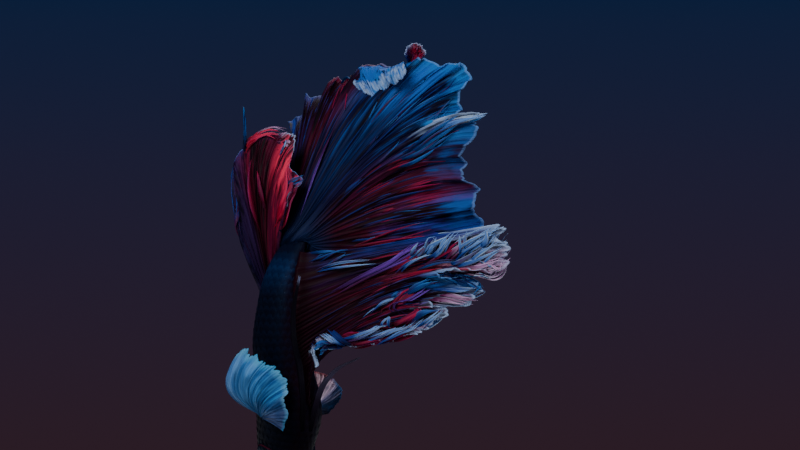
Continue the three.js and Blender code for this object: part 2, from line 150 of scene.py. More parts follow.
# ------------------------------------------------------------------ skin of the body
# One wet skin over head, trunk and tail root, near-black navy with a painted blue highlight before
# the tail, steel blue gill covers and a dark wine belly. It has the mouth slit, the gill covers' edges,
# the eyes' sockets and the nostrils, and lies inside the solid body by the depth of the scales.
BODY_LENGTH = 47.5
SCALE_DEPTH = 0.12           # mm
SNOUT_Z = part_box("head")[0][2] / MM
BODY_FORM = np.array([
    # station, X, Y, back, belly, half width, turn of the belly line from +X, degrees
    [0.0, -1.2, 0.6, 0.45, 0.75, 0.90, 60],
    [2.0, -1.3, 0.4, 1.55, 2.15, 1.80, 60],
    [5.0, -1.5, 0.0, 2.95, 3.50, 2.75, 60],
    [9.0, -1.8, -0.7, 4.35, 4.80, 3.65, 60],
    [14.0, -2.3, -1.6, 5.35, 5.65, 4.35, 60],
    [20.0, -1.8, -2.6, 6.25, 6.90, 5.00, 59],
    [26.0, -2.5, -3.4, 6.00, 6.15, 4.40, 57],
    [31.0, -3.3, -3.8, 5.45, 5.45, 3.70, 53],
    [36.0, -3.3, -3.8, 4.70, 4.75, 3.00, 49],
    [41.0, -2.9, -3.2, 4.05, 3.95, 2.20, 47],
    [44.5, -1.9, -2.3, 3.55, 3.45, 1.60, 46],
    [BODY_LENGTH, -0.8, -1.2, 3.25, 3.15, 1.00, 46],
])


def along(rows, place):
    """A smooth curve through rows of [place, value, value ...]: between two rows it is the cubic
    whose slope at each row is the mean of its neighbours' slopes, each weighed by the other's
    step."""
    rows = np.asarray(rows, float)
    place = np.asarray(place, float)
    knots, values = rows[:, 0], rows[:, 1:]
    step = np.diff(knots)[:, None]
    slope = np.diff(values, axis=0) / step
    tangent = np.concatenate([slope[:1], (slope[:-1] * step[1:] + slope[1:] * step[:-1])
                              / (step[1:] + step[:-1]), slope[-1:]])
    i = np.clip(np.searchsorted(knots, place, side="right") - 1, 0, len(knots) - 2)
    t = ((place - knots[i]) / step[i, 0])[..., None]
    return ((2 * t**3 - 3 * t**2 + 1) * values[i] + (t**3 - 2 * t**2 + t) * step[i] * tangent[i]
            + (3 * t**2 - 2 * t**3) * values[i + 1] + (t**3 - t**2) * step[i] * tangent[i + 1])


def unit(vector):
    """A vector divided by its own length."""
    return vector / np.maximum(np.linalg.norm(vector, axis=-1, keepdims=True), 1e-12)


def body_frame(station):
    """The body's middle point at a station, its directions to the tail, the belly and the left
    side, and its heights to back and belly and half width. The belly direction is level, turned
    by the form's last column and then squared to the middle line."""
    station = np.asarray(station, float)
    form = along(BODY_FORM, station)
    before, after = np.maximum(station - 0.05, 0), np.minimum(station + 0.05, BODY_LENGTH)
    bend = along(BODY_FORM, after)[..., :2] - along(BODY_FORM, before)[..., :2]
    to_tail = unit(np.concatenate([bend, (after - before)[..., None]], -1))
    turn = np.radians(form[..., 5])
    to_belly = np.stack([np.cos(turn), -np.sin(turn), 0 * turn], -1)
    to_belly = unit(to_belly - (to_belly * to_tail).sum(-1, keepdims=True) * to_tail)
    middle_point = np.stack([form[..., 0], form[..., 1], SNOUT_Z + station], -1)
    return (middle_point, to_tail, to_belly, np.cross(to_belly, to_tail),
            form[..., 2], form[..., 3], form[..., 4])


def skin_point(station, angle, outwards=0.0):
    """A point of the skin: the body's ellipse at the station, with the belly's height on the
    belly side and the back's on the other, moved outwards."""
    middle_point, _, to_belly, to_left, back, belly, width = body_frame(station)
    height = np.where(np.cos(angle) > 0, belly, back) + outwards
    return (middle_point + to_belly * (height * np.cos(angle))[..., None]
            + to_left * ((width + outwards) * np.sin(angle))[..., None])


def smooth_step(value, low, high):
    """0 below low, 1 above high, and a smooth rise between."""
    t = np.clip((value - low) / (high - low), 0, 1)
    return t * t * (3 - 2 * t)


def new_piece(name, points, faces, slot, replaced=(), **maps):
    """A mesh piece of the fish from points in mm, smooth shaded, with one UV map for each array
    of point coordinates in maps. It rides on the model's one body."""
    mesh = bpy.data.meshes.new(name)
    mesh.from_pydata((np.asarray(points) * MM).tolist(), [], faces)
    mesh.shade_smooth()
    corners = np.empty(len(mesh.loops), int)
    mesh.loops.foreach_get("vertex_index", corners)
    for label, coordinates in maps.items():
        layer = mesh.uv_layers.new(name=label)
        layer.data.foreach_set("uv", np.asarray(coordinates)[corners].astype(np.float32).ravel())
    piece = bpy.data.objects.new(name, mesh)
    bpy.context.collection.objects.link(piece)
    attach(piece, "root")
    if replaced:
        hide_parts(*replaced)
    return piece


def tree_of(*values):
    """The node tree of the first linked value."""
    return next(value.id_data for value in values if isinstance(value, bpy.types.NodeSocket))


def mix(factor, first, second):
    """Two colours mixed by a factor."""
    first, second = (value if isinstance(value, bpy.types.NodeSocket) else (*value, 1)
                     for value in (first, second))
    tree = tree_of(factor, first, second)
    return node(tree, "ShaderNodeMix", {0: factor, 6: first, 7: second}, data_type="RGBA").outputs[2]


def maths(operation, first, second):
    """One step of arithmetic on values."""
    tree = tree_of(first, second)
    return node(tree, "ShaderNodeMath", {0: first, 1: second}, operation=operation).outputs[0]


def grain(coordinates, scale=1.0, detail=2.0, rough=0.5, stretch=(1, 1, 1), shift=(0, 0, 0)):
    """Noise over coordinates that are first stretched and shifted."""
    tree = coordinates.id_data
    placed = node(tree, "ShaderNodeMapping", {"Vector": coordinates, "Scale": stretch, "Location": shift})
    return node(tree, "ShaderNodeTexNoise", {"Vector": placed.outputs[0], "Scale": scale,
                "Detail": detail, "Roughness": rough}).outputs["Fac"]


def times(first, second):
    """The product of two values."""
    return maths("MULTIPLY", first, second)


def plus(value, extra, share, middle=0.0):
    """A value plus a share of how far another value is from a middle."""
    off = maths("SUBTRACT", extra, middle) if middle else extra
    return maths("ADD", value, times(off, share))


def rise(value, low, high, top=1.0):
    """0 below low, top above high, and straight between."""
    return ramp(value, (low, 0.0), (high, top))


def map_parts(tree, label):
    """A UV map, and its two coordinates."""
    place = node(tree, "ShaderNodeUVMap", uv_map=label).outputs[0]
    parts = node(tree, "ShaderNodeSeparateXYZ", {0: place})
    return place, parts.outputs[0], parts.outputs[1]


def paint(shader, colour, relief=None, strength=0.3, depth=0.0001):
    """Joins a colour to the shader, and relief of a depth in metres to its normal."""
    tree = shader.id_data
    tree.links.new(colour, shader.inputs["Base Color"])
    if relief is not None:
        bump = node(tree, "ShaderNodeBump", {"Height": relief, "Strength": strength, "Distance": depth})
        tree.links.new(bump.outputs[0], shader.inputs["Normal"])


def flesh_colour(tree):
    """The markings that skin and scales share, over the map of angle and station: a near-black
    back and flanks with a painted blue highlight before the tail, a wine belly, steel blue on the gill
    cover and a crimson line along its rear edge, clouded by noise."""
    place, round_body, down_body = map_parts(tree, "markings")
    cloud = grain(place, 9, 3, 0.6, (2, 1, 1))
    # 0 at the belly line to 1 at the back
    height = times(maths("PINGPONG", round_body, 0.5), 2.0)
    # the flank turns blue near 0.87 of the way down the body as a painted highlight, then darker towards the
    # tail's root
    flank = ramp(down_body, (0.0, (0.012, 0.013, 0.022)), (0.08, (0.008, 0.009, 0.018)),
                 (0.20, (0.005, 0.006, 0.012)), (0.30, (0.0022, 0.0024, 0.005)),
                 (0.50, (0.0022, 0.0026, 0.007)), (0.78, (0.0026, 0.0034, 0.010)),
                 (0.87, (0.004, 0.014, 0.060)), (0.92, (0.003, 0.005, 0.018)), (1.0, (0.0025, 0.003, 0.010)))
    belly = ramp(down_body, (0.0, (0.016, 0.008, 0.014)), (0.18, (0.014, 0.004, 0.008)),
                 (0.34, (0.005, 0.002, 0.004)), (0.48, (0.010, 0.002, 0.005)), (0.70, (0.008, 0.002, 0.006)),
                 (1.0, (0.004, 0.002, 0.006)))
    colour = mix(ramp(plus(height, cloud, 0.16), (0.16, 1.0), (0.36, 0.0)), flank, belly)
    span = (COVER_WIDTH / (2 * np.pi), COVER_LENGTH / (BODY_LENGTH + TAIL_LAP))
    centre = (COVER_ANGLE / (2 * np.pi), COVER_STATION / (BODY_LENGTH + TAIL_LAP))
    placed = node(tree, "ShaderNodeMapping", {"Vector": place, "Scale": (1 / span[0], 1 / span[1], 0),
                  "Location": (-centre[0] / span[0], -centre[1] / span[1], 0)})
    cover = node(tree, "ShaderNodeVectorMath", {0: placed.outputs[0]}, operation="LENGTH").outputs["Value"]
    plate = times(ramp(cover, (0.70, 1.0), (0.96, 0.0)), ramp(cloud, (0.35, 0.25), (0.65, 1.0)))
    colour = mix(plate, colour, COVER_HUE)
    rear_line = times(ramp(cover, (0.94, 0.0), (0.99, 1.0), (1.03, 1.0), (1.08, 0.0)),
                      rise(down_body, centre[1] - 0.01, centre[1] + 0.03, 0.9))
    colour = mix(rear_line, colour, COVER_EDGE_HUE)
    return mix(rise(cloud, 0.35, 0.75, 0.35), colour, CLOUD_HUE), down_body


RINGS, AROUND = 330, 216
TAIL_LAP = 1.8               # how far the skin runs out over the tail fin's root
EYE_STATION, EYE_RADIUS, EYE_ANGLE, EYE_PROUD = 5.6, 1.75, math.radians(100), 0.75
COVER_STATION, COVER_ANGLE = 11.4, math.radians(84)
COVER_LENGTH, COVER_WIDTH = 3.3, 0.80      # mm, and radians
COVER_RISE, COVER_GROOVE, CHEEK_RIDGE = 0.26, 0.22, 0.05
RIM_RISE, SOCKET_DEPTH, LIP_RISE, MOUTH_DEPTH = 0.30, 0.9, 0.16, 0.42
NOSTRILS, NOSTRIL_ANGLE = ((2.9, 0.17), (3.7, 0.12)), math.radians(132)   # station and size
COVER_HUE, COVER_EDGE_HUE, CLOUD_HUE = (0.006, 0.030, 0.060), (0.070, 0.004, 0.014), (0.003, 0.006, 0.016)
BLUE_GLOSS = {"Specular_Tint": (0.3, 0.5, 1.0, 1)}

ring = np.linspace(0, 1, RINGS)
stations = (BODY_LENGTH + TAIL_LAP) * (0.35 * ring + 0.65 * ring**1.7)
angles = np.linspace(0, 2 * np.pi, AROUND, endpoint=False)
station, angle = np.meshgrid(stations, angles, indexing="ij")


def bell(distance, width):
    """1 at no distance, falling off as e to the minus square of distance over width."""
    return np.exp(-(distance / width) ** 2)


def side_angle(angle):
    """The angle folded so that both flanks read 0 at the belly to pi at the back."""
    return np.abs(np.mod(angle + np.pi, 2 * np.pi) - np.pi)


def skin_relief(station, angle):
    """How far the skin stands out, mm: the rounded snout, the plate of the gill cover with its
    sharp rear edge, ridges on the cheek, a rim round the eye's socket, the lips beside the mouth
    slit and the two nostrils on each side."""
    fold = side_angle(angle)
    _, _, _, _, _, belly, width = body_frame(np.minimum(station, BODY_LENGTH))
    round_off = 1 - np.sqrt(1 - (1 - np.clip(station / 1.3, 0, 1)) ** 2)
    out = -round_off * 0.9 * np.minimum(width, belly)
    across = (fold - COVER_ANGLE) * (width + 0.5)
    cover = np.hypot((station - COVER_STATION) / COVER_LENGTH, across / 3.5)
    rear = smooth_step(station, COVER_STATION - 1.5, COVER_STATION + 1.0)
    plate = 1 - smooth_step(cover, 0.94, 1.0)
    out += COVER_RISE * plate * (0.35 + 0.65 * rear) * smooth_step(cover, -0.2, 0.9)
    out -= COVER_GROOVE * bell(cover - 1.035, 0.03) * rear
    out += CHEEK_RIDGE * np.sin(9 * across) * bell(cover - 0.55, 0.2) * plate * 0.4
    gap = np.hypot(station - EYE_STATION, (fold - EYE_ANGLE) * (width + 0.2))
    out += RIM_RISE * bell(gap - 1.85, 0.34)
    out -= SOCKET_DEPTH * (1 - smooth_step(gap, 1.2, 1.62))
    slit = mouth_distance(station, angle)
    near = 1 - smooth_step(station, 2.1, 3.0)
    out += near * (LIP_RISE * bell(np.abs(slit) - 0.34, 0.16) - MOUTH_DEPTH * bell(slit, 0.10))
    for nostril_station, size in NOSTRILS:
        pit = np.hypot(station - nostril_station, (fold - NOSTRIL_ANGLE) * (width + 0.1))
        out += 0.08 * bell(pit - size * 1.5, 0.07) - 0.22 * bell(pit, size)
    return out


def mouth_distance(station, angle):
    """The distance of a skin point from the slanting plane of the mouth, mm."""
    point = skin_point(station, angle)
    start, to_tail, to_belly, across = body_frame(0.0)[:4]
    slant = 0.8 * to_tail + 0.6 * to_belly
    return ((point - (start - 0.1 * to_belly)) * np.cross(slant, across)).sum(-1)


def lapped(station, angle, outwards):
    """The skin as skin_point gives it, and past the body's end running on along the tail fin as
    a wedge that thins to nothing and spreads with the rays."""
    past = np.maximum(station - BODY_LENGTH, 0)
    share = past / TAIL_LAP
    on_body = np.minimum(station, BODY_LENGTH)
    middle_point, to_tail, to_belly, to_left, back, belly, width = body_frame(on_body)
    height = np.where(np.cos(angle) > 0, belly, back) + outwards * (1 - share) + 0.25 * past
    half = (width + outwards) * (1 - share) ** 0.6 + 0.06
    reach = past * (1 - 0.35 * np.cos(angle) ** 2)
    return (middle_point + to_tail * reach[..., None] + to_belly * (height * np.cos(angle))[..., None]
            + to_left * (half * np.sin(angle))[..., None])


def ring_faces(rings, around, close=True):
    """Quads of a closed tube of rings, facing out, with a fan at each end where it is closed."""
    i, j = np.meshgrid(np.arange(rings - 1), np.arange(around), indexing="ij")
    a, b = i * around + j, i * around + (j + 1) % around
    quads = np.stack([a, a + around, b + around, b], -1).reshape(-1, 4).tolist()
    if close:
        turn = np.arange(around)
        front = np.stack([np.full(around, rings * around), turn, (turn + 1) % around], -1)
        last = (rings - 1) * around
        rear = np.stack([np.full(around, rings * around + 1), last + (turn + 1) % around, last + turn], -1)
        quads += front.tolist() + rear.tolist()
    return quads


skin_rings = lapped(station, angle, skin_relief(station, angle) - SCALE_DEPTH)
snout_tip = skin_rings[0].mean(0)
tail_end = skin_rings[-1].mean(0)
points = np.concatenate([skin_rings.reshape(-1, 3), [snout_tip, tail_end]])
map_rows = np.stack([angle / (2 * np.pi), station / (BODY_LENGTH + TAIL_LAP)], -1).reshape(-1, 2)
map_rows[:, 0] = side_angle(map_rows[:, 0] * 2 * np.pi) / (2 * np.pi)
markings = np.concatenate([map_rows, [[0.25, 0.0], [0.25, 1.0]]])
skin = new_piece("skin", points, ring_faces(RINGS, AROUND), "skin",
                 ("head", "lower_jaw", "gill_cover_left", "gill_cover_right", "trunk_front",
                  "trunk_rear", "tail_root"), markings=markings)
skin_material, tree, shader = new_material("wet_skin", 0.30, Specular_IOR_Level=0.12, **BLUE_GLOSS)
pores = grain(node(tree, "ShaderNodeTexCoord").outputs["Object"], 4200, 3, 0.6)
paint(shader, flesh_colour(tree)[0], pores, 0.25, 0.00006)
skin.data.materials.append(skin_material)

# ------------------------------------------------------------------ scales
# Overlapping round scales in staggered rows from the cheek to the tail fin's root, small on the
# head. Each is a thin curved plate with its root under the row before it.
SCALE_RUN = 1.22             # mm between rows on the trunk
FIRST_ROW = 7.4
SCALE_LENGTH, SCALE_WIDTH = 1.75, 0.62     # of the way to the next row, and to the next scale
EYE_CLEAR = 2.4              # mm round the eye without scales
GRAIN_ACROSS, GRAIN_DOWN = 6, 5
BAKE_PATCH = 0.003


def row_pitch(place):
    """The way from the row of scales at a place to the next: shorter on the head."""
    return SCALE_RUN * float(np.clip(0.42 + 0.058 * (place - FIRST_ROW), 0.45, 1.0))


rows = [FIRST_ROW]
while rows[-1] < BODY_LENGTH + 0.4:
    rows.append(rows[-1] + row_pitch(rows[-1]))
rows = np.array(rows)


def scale_plate(root_station, root_angle, length, width):
    """One scale's grid for each root: x runs across from -1 to 1 and y from root to free edge.
    The edge is a half circle, the plate bows round the body, lies 0.03 mm under the skin at its
    root and stands 0.12 mm over it at its free edge."""
    x = np.linspace(-1, 1, GRAIN_ACROSS + 1)
    y = np.linspace(0, 1, GRAIN_DOWN + 1)
    y, x = np.meshgrid(y, x, indexing="ij")
    down = y * (0.50 + 0.50 * np.sqrt(np.clip(1 - (0.98 * x) ** 2, 0, 1)))
    narrow = 0.72 + 0.28 * np.sin(np.pi * np.clip(0.15 + 0.7 * y, 0, 1))
    s = root_station[:, None, None] + length[:, None, None] * down
    a = root_angle[:, None, None] + width[:, None, None] * x * narrow
    lift = -0.05 + 0.15 * down * (1 - 0.35 * x**2)
    return s, a, lift - SCALE_DEPTH + 0.02, x, y


rng = np.random.default_rng(7)
roots, turns_round, lengths, widths = [], [], [], []
for index, place in enumerate(rows):
    _, _, _, _, back, belly, width = body_frame(min(place, BODY_LENGTH))
    girth = np.pi * (1.5 * (0.5 * (back + belly) + width) - np.sqrt(0.5 * (back + belly) * width))
    pitch = row_pitch(place)
    count = max(int(round(girth / (pitch * 1.08))), 8)
    roots.append(np.full(count, place) + rng.uniform(-0.04, 0.04, count) * pitch)
    turns_round.append((np.arange(count) + 0.5 * (index % 2)) * 2 * np.pi / count)
    lengths.append(np.full(count, pitch * SCALE_LENGTH))
    widths.append(np.full(count, 2 * np.pi / count * SCALE_WIDTH))
roots, turns_round = np.concatenate(roots), np.concatenate(turns_round)
lengths, widths = np.concatenate(lengths), np.concatenate(widths)
_, _, _, _, _, _, half_width = body_frame(np.minimum(roots, BODY_LENGTH))
flank_angle = side_angle(turns_round)
keep = np.hypot(roots - EYE_STATION, (flank_angle - EYE_ANGLE) * (half_width + 0.2)) > EYE_CLEAR
roots, turns_round, lengths, widths = roots[keep], turns_round[keep], lengths[keep], widths[keep]
s, a, lift, x, y = scale_plate(roots, turns_round, lengths, widths)
relief = skin_relief(s, a)
plates = lapped(s, a, relief + lift)
per = (GRAIN_ACROSS + 1) * (GRAIN_DOWN + 1)
i, j = np.meshgrid(np.arange(GRAIN_DOWN), np.arange(GRAIN_ACROSS), indexing="ij")
corner = (i * (GRAIN_ACROSS + 1) + j).ravel()
quad = np.stack([corner, corner + GRAIN_ACROSS + 1, corner + GRAIN_ACROSS + 2, corner + 1], -1)
scale_faces = (quad[None] + (np.arange(len(roots)) * per)[:, None, None]).reshape(-1, 4).tolist()
body_map = np.stack([side_angle(a) / (2 * np.pi), s / (BODY_LENGTH + TAIL_LAP)], -1).reshape(-1, 2)
plate_map = np.broadcast_to(np.stack([x / 2 + 0.5, y], -1), (*a.shape, 2)).reshape(-1, 2)
bake_place = np.stack([turns_round / (2 * np.pi) % 1 * 0.97 + 0.01,
                       roots / (BODY_LENGTH + TAIL_LAP) * 0.97 + 0.01], -1)
bake_map = (bake_place[:, None, :] + BAKE_PATCH * plate_map.reshape(len(roots), per, 2)).reshape(-1, 2)
scales = new_piece("scales", plates.reshape(-1, 3), scale_faces, "skin",
                   OFBake=bake_map, markings=body_map, plate=plate_map)
scale_material, tree, shader = new_material("scales", 0.40, Specular_IOR_Level=0.04, **BLUE_GLOSS)
colour, down_body = flesh_colour(tree)
plate_place, _, down_plate = map_parts(tree, "plate")
# blue on the scales' free edges, with a painted highlight where the ramp peaks at 0.87 before the tail
edge_blue_and_highlight = times(ramp(down_body, (0.10, 0.5), (0.22, 0.3), (0.30, 0.03), (0.45, 0.08), (0.80, 0.10),
                         (0.87, 0.5), (0.92, 0.05), (1.0, 0.0)),
              ramp(down_plate, (0.55, 0.0), (0.82, 0.8), (1.0, 0.2)))
growth_rings = node(tree, "ShaderNodeTexWave", {"Vector": plate_place, "Scale": 5.0, "Distortion": 1.0},
                    bands_direction="Y")
paint(shader, mix(edge_blue_and_highlight, colour, (0.006, 0.030, 0.10)), growth_rings.outputs["Fac"], 0.2, 0.00004)
scales.data.materials.append(scale_material)

# ------------------------------------------------------------------ eyes
# A wet ball in each socket: a black pupil, a thin gold line and a dark blue iris, darker at its rim.
EYE_ROWS, EYE_AROUND = 40, 64
for side, name in ((1, "eye_left"), (-1, "eye_right")):
    surface = skin_point(EYE_STATION, side * EYE_ANGLE)
    outwards = unit(skin_point(EYE_STATION, side * EYE_ANGLE, 1.0) - surface)
    centre = surface + outwards * (EYE_PROUD - EYE_RADIUS)
    sideways = unit(np.cross(outwards, body_frame(EYE_STATION)[1]))
    upwards = np.cross(outwards, sideways)
    polar, spin = np.meshgrid(np.linspace(0.02, np.pi - 0.02, EYE_ROWS),
                              np.linspace(0, 2 * np.pi, EYE_AROUND, endpoint=False), indexing="ij")
    radius = EYE_RADIUS * (1 - 0.05 * bell(polar - 0.62, 0.12))
    ball = centre + (radius * np.cos(polar))[..., None] * outwards + (radius * np.sin(polar))[..., None] * (
        np.cos(spin)[..., None] * sideways + np.sin(spin)[..., None] * upwards)
    ends = [centre + outwards * EYE_RADIUS, centre - outwards * EYE_RADIUS]
    eye_map = np.stack([spin / (2 * np.pi), polar / np.pi], -1).reshape(-1, 2)
    eye = new_piece(name + "_ball", np.concatenate([ball.reshape(-1, 3), ends]),
                    ring_faces(EYE_ROWS, EYE_AROUND), "eye", (name,),
                    markings=np.concatenate([eye_map, [[0, 0], [0, 1]]]))
    if side > 0:
        eye_material, tree, shader = new_material("wet_eye", 0.08, Coat_Weight=1.0, Coat_Roughness=0.02)
        place, _, from_pole = map_parts(tree, "markings")
        spokes = grain(place, 14, 2, 0.5, (6, 0.6, 1))
        iris = mix(spokes, (0.012, 0.030, 0.060), (0.05, 0.16, 0.22))
        gold = ramp(from_pole, (0.150, 0.0), (0.166, 1.0), (0.180, 1.0), (0.200, 0.0))
        iris = mix(gold, iris, (0.42, 0.30, 0.10))
        dark = mix(ramp(from_pole, (0.148, 1.0), (0.158, 0.0)), iris, (0.002, 0.002, 0.003))
        paint(shader, mix(rise(from_pole, 0.30, 0.36), dark, (0.01, 0.012, 0.02)))
    eye.data.materials.append(eye_material)

# ------------------------------------------------------------------ tail fin
# A half moon of forked rays joined by thin skin, cupped away from the front, pleated and
# frayed along its margin. Navy at the root, streaked maroon, crimson and blue, with a margin that
# runs from azure over pale cyan to crimson. It grows out of the end of the body.
TAIL_RAYS = [
    # across, root's share of the end's half height from its middle to the belly, X, height over
    # the snout and Y half way along, the same at the tip, and the height of the folds there
    [0, 1, 8.7, 43.3, -4, 20.4, 40.5, -8, 0.3],
    [0.03, 0.94, 12.6, 44.3, -4.3, 26.5, 44.3, -9, 0.3],
    [0.07, 0.86, 14.9, 47.2, -4.5, 30, 49.3, -10, 0.4],
    [0.11, 0.76, 14.5, 50, -4.5, 28.5, 52.5, -10.5, 0.5],
    [0.15, 0.66, 14.5, 52.4, -4.5, 29.1, 55.3, -11, 0.6],
    [0.2, 0.54, 14.5, 55.4, -4.5, 27.2, 57.8, -11, 0.6],
    [0.25, 0.45, 13.9, 57.6, -4.5, 26.6, 60.7, -11, 0.6],
    [0.29, 0.36, 13.7, 59.3, -5, 27.7, 63.2, -11.5, 0.6],
    [0.325, 0.28, 14.2, 60.7, -5.5, 28.6, 65.8, -12, 0.6],
    [0.345, 0.24, 14.5, 61.5, -5.5, 29.6, 67.5, -12.5, 0.6],
    [0.365, 0.2, 14.2, 62, -5, 28.3, 68.3, -12, 0.7],
    [0.39, 0.14, 13.2, 62.5, -4.5, 25.6, 66.5, -10, 0.9],
    [0.43, 0.06, 13.2, 63.2, -4, 26, 69.5, -8.5, 1],
    [0.49, -0.06, 13.9, 64.5, -3.5, 27.2, 72.8, -7.5, 1],
    [0.55, -0.18, 13.9, 65.2, -3, 27.5, 75.6, -6, 1],
    [0.61, -0.3, 12.2, 65.9, -2, 24, 76.9, -3.5, 0.9],
    [0.66, -0.4, 10.2, 66.3, -1, 20.3, 77, -1, 0.8],
    [0.7, -0.5, 8.2, 66.7, 0.5, 18.3, 77.7, 2, 0.8],
    [0.74, -0.58, 6.2, 66.9, 2.5, 14.7, 77, 6, 0.9],
    [0.78, -0.66, 4.5, 66.8, 4.5, 10.4, 76.2, 10, 1.1],
    [0.83, -0.74, 2.7, 66.3, 6.5, 6.9, 75.2, 14.5, 1.2],
    [0.88, -0.82, 1, 65, 8.5, 3.7, 73.7, 18.5, 1.2],
    [0.94, -0.91, -0.6, 63.7, 10.5, 0.4, 71.8, 22.5, 1.1],
    [1, -1, -2.2, 62.1, 12, -2.6, 68.5, 26, 1],
]


def wander(u, slow, fast, seed, v=0.0, along_ray=0.0):
    """A smooth irregular field between about -1 and 1: seven sines of u with rates from slow to
    fast, each also running on with v at up to along_ray, with phases drawn from the seed."""
    draw = np.random.default_rng(seed)
    rates, starts, runs = draw.uniform(slow, fast, 7), draw.uniform(0, 2 * np.pi, 7), draw.uniform(-1, 1, 7)
    return sum(np.sin(2 * np.pi * (rate * u + along_ray * run * v) + start)
               for rate, start, run in zip(rates, starts, runs)) / 3.2


def fan(u, v, root, rays):
    """A fin without its folds: a ray is the parabola from root(u) through its half-way point to
    its tip. Returns the points, each ray's direction, the direction across and the fold height."""
    def parabola(u, v):
        """Points of the rays, and the fold height."""
        row = along(rays, u)
        half_way, end = (np.stack([row[..., k], row[..., k + 2], SNOUT_Z + row[..., k + 1]], -1)
                         for k in (1, 4))
        v = v[..., None]
        return (root(row[..., 0]) * (1 - v) * (1 - 2 * v) + half_way * 4 * v * (1 - v)
                + end * v * (2 * v - 1)), row[..., 7]
    point, fold = parabola(u, v)
    before, after, late = np.maximum(u - 2e-3, 0), np.minimum(u + 2e-3, 1), np.maximum(v, 0.5)
    ray = unit(parabola(u, v + 0.02)[0] - parabola(u, v - 0.02)[0])
    across = parabola(after, late)[0] - parabola(before, late)[0]
    return point, ray, unit(across - (across * ray).sum(-1, keepdims=True) * ray), fold


def fin_surface(u, v, root, rays, folds, growth, lean, ruffles, seed):
    """A fin's middle surface. The fan waves out of its plane by the fold height times v to the
    growth times the sine of its folds, and slides sideways at twice their rate, by lean times
    that, so that deep folds overlap. Each ruffle (rate, height, power) adds finer waves, bent
    and weighed by irregular fields. Returns the points and how far each lies on a crest."""
    point, ray, sideways, fold = fan(u, v, root, rays)
    normal = np.cross(ray, sideways)
    shift = 0.7 * np.sin(2.6 * np.pi * u + folds) + 0.5 * np.sin(5.8 * np.pi * u + 2 * folds)
    out = fold * v**growth * np.sin(2 * np.pi * folds * u + shift)
    crest = 0.3 * out / max(fold.max(), 0.1)
    slide = lean * fold * v**growth * np.sin(4 * np.pi * folds * u + 0.6)
    for index, (rate, height, power) in enumerate(ruffles):
        bend = 2.6 * wander(u, rate / 25, rate / 4, seed + 10 * index, v, 1.1)
        strength = 0.6 + 0.4 * wander(u, rate / 20, rate / 3, seed + 10 * index + 1, v, 1.6)
        ruffle = strength * v**power * np.sin(2 * np.pi * rate * u + bend)
        out, crest = out + height * ruffle, crest + ruffle / (0.7 * len(ruffles))
        slide = slide + 0.3 * height * strength * v**power * np.cos(2 * np.pi * rate * u + bend)
    return point + normal * out[..., None] + sideways * slide[..., None], crest


def folded(root, rays, **form):
    """A fin's middle surface, as a function of u and v."""
    return lambda u, v: fin_surface(u, v, root, rays, **form)


def rooted_on(sheet, v):
    """Roots along another fin's sheet at v, as a function of u."""
    return lambda u: sheet(u, np.full(np.shape(u), v))[0]


def even(value):
    """Two stops with the same value, over the whole of u."""
    return (0, value), (1, value)


def ray_ridges(u, v, count):
    """Ribs across a fin, 0 between rays and 1 on them: count rays at the root, which fork once
    at a third and again at two thirds of their length."""
    def ribs(number):
        """That many ribs from u of 0 to 1."""
        return np.abs(np.cos(np.pi * number * u)) ** 3
    first, second = smooth_step(v, 0.25, 0.42), smooth_step(v, 0.58, 0.75)
    return (ribs(count) * (1 - first) + ribs(2 * count) * first) * (1 - second) + ribs(4 * count) * second


def frayed(u, teeth, depth, seed):
    """How far each ray reaches, as a share of its length: rounded ends between narrow notches,
    both of a depth interpolated over u, and a slow wander of the whole margin."""
    deep = np.interp(u, *np.transpose(depth))
    notch = 1 - np.abs(np.sin(np.pi * teeth * u + 1.5 * wander(u, 2, 9, seed + 3))) ** 0.7
    return 1 + deep * (0.45 * wander(u, teeth / 7, teeth / 2, seed)
                       - notch * (0.6 + 0.4 * wander(u, teeth / 9, teeth / 3, seed + 1)))


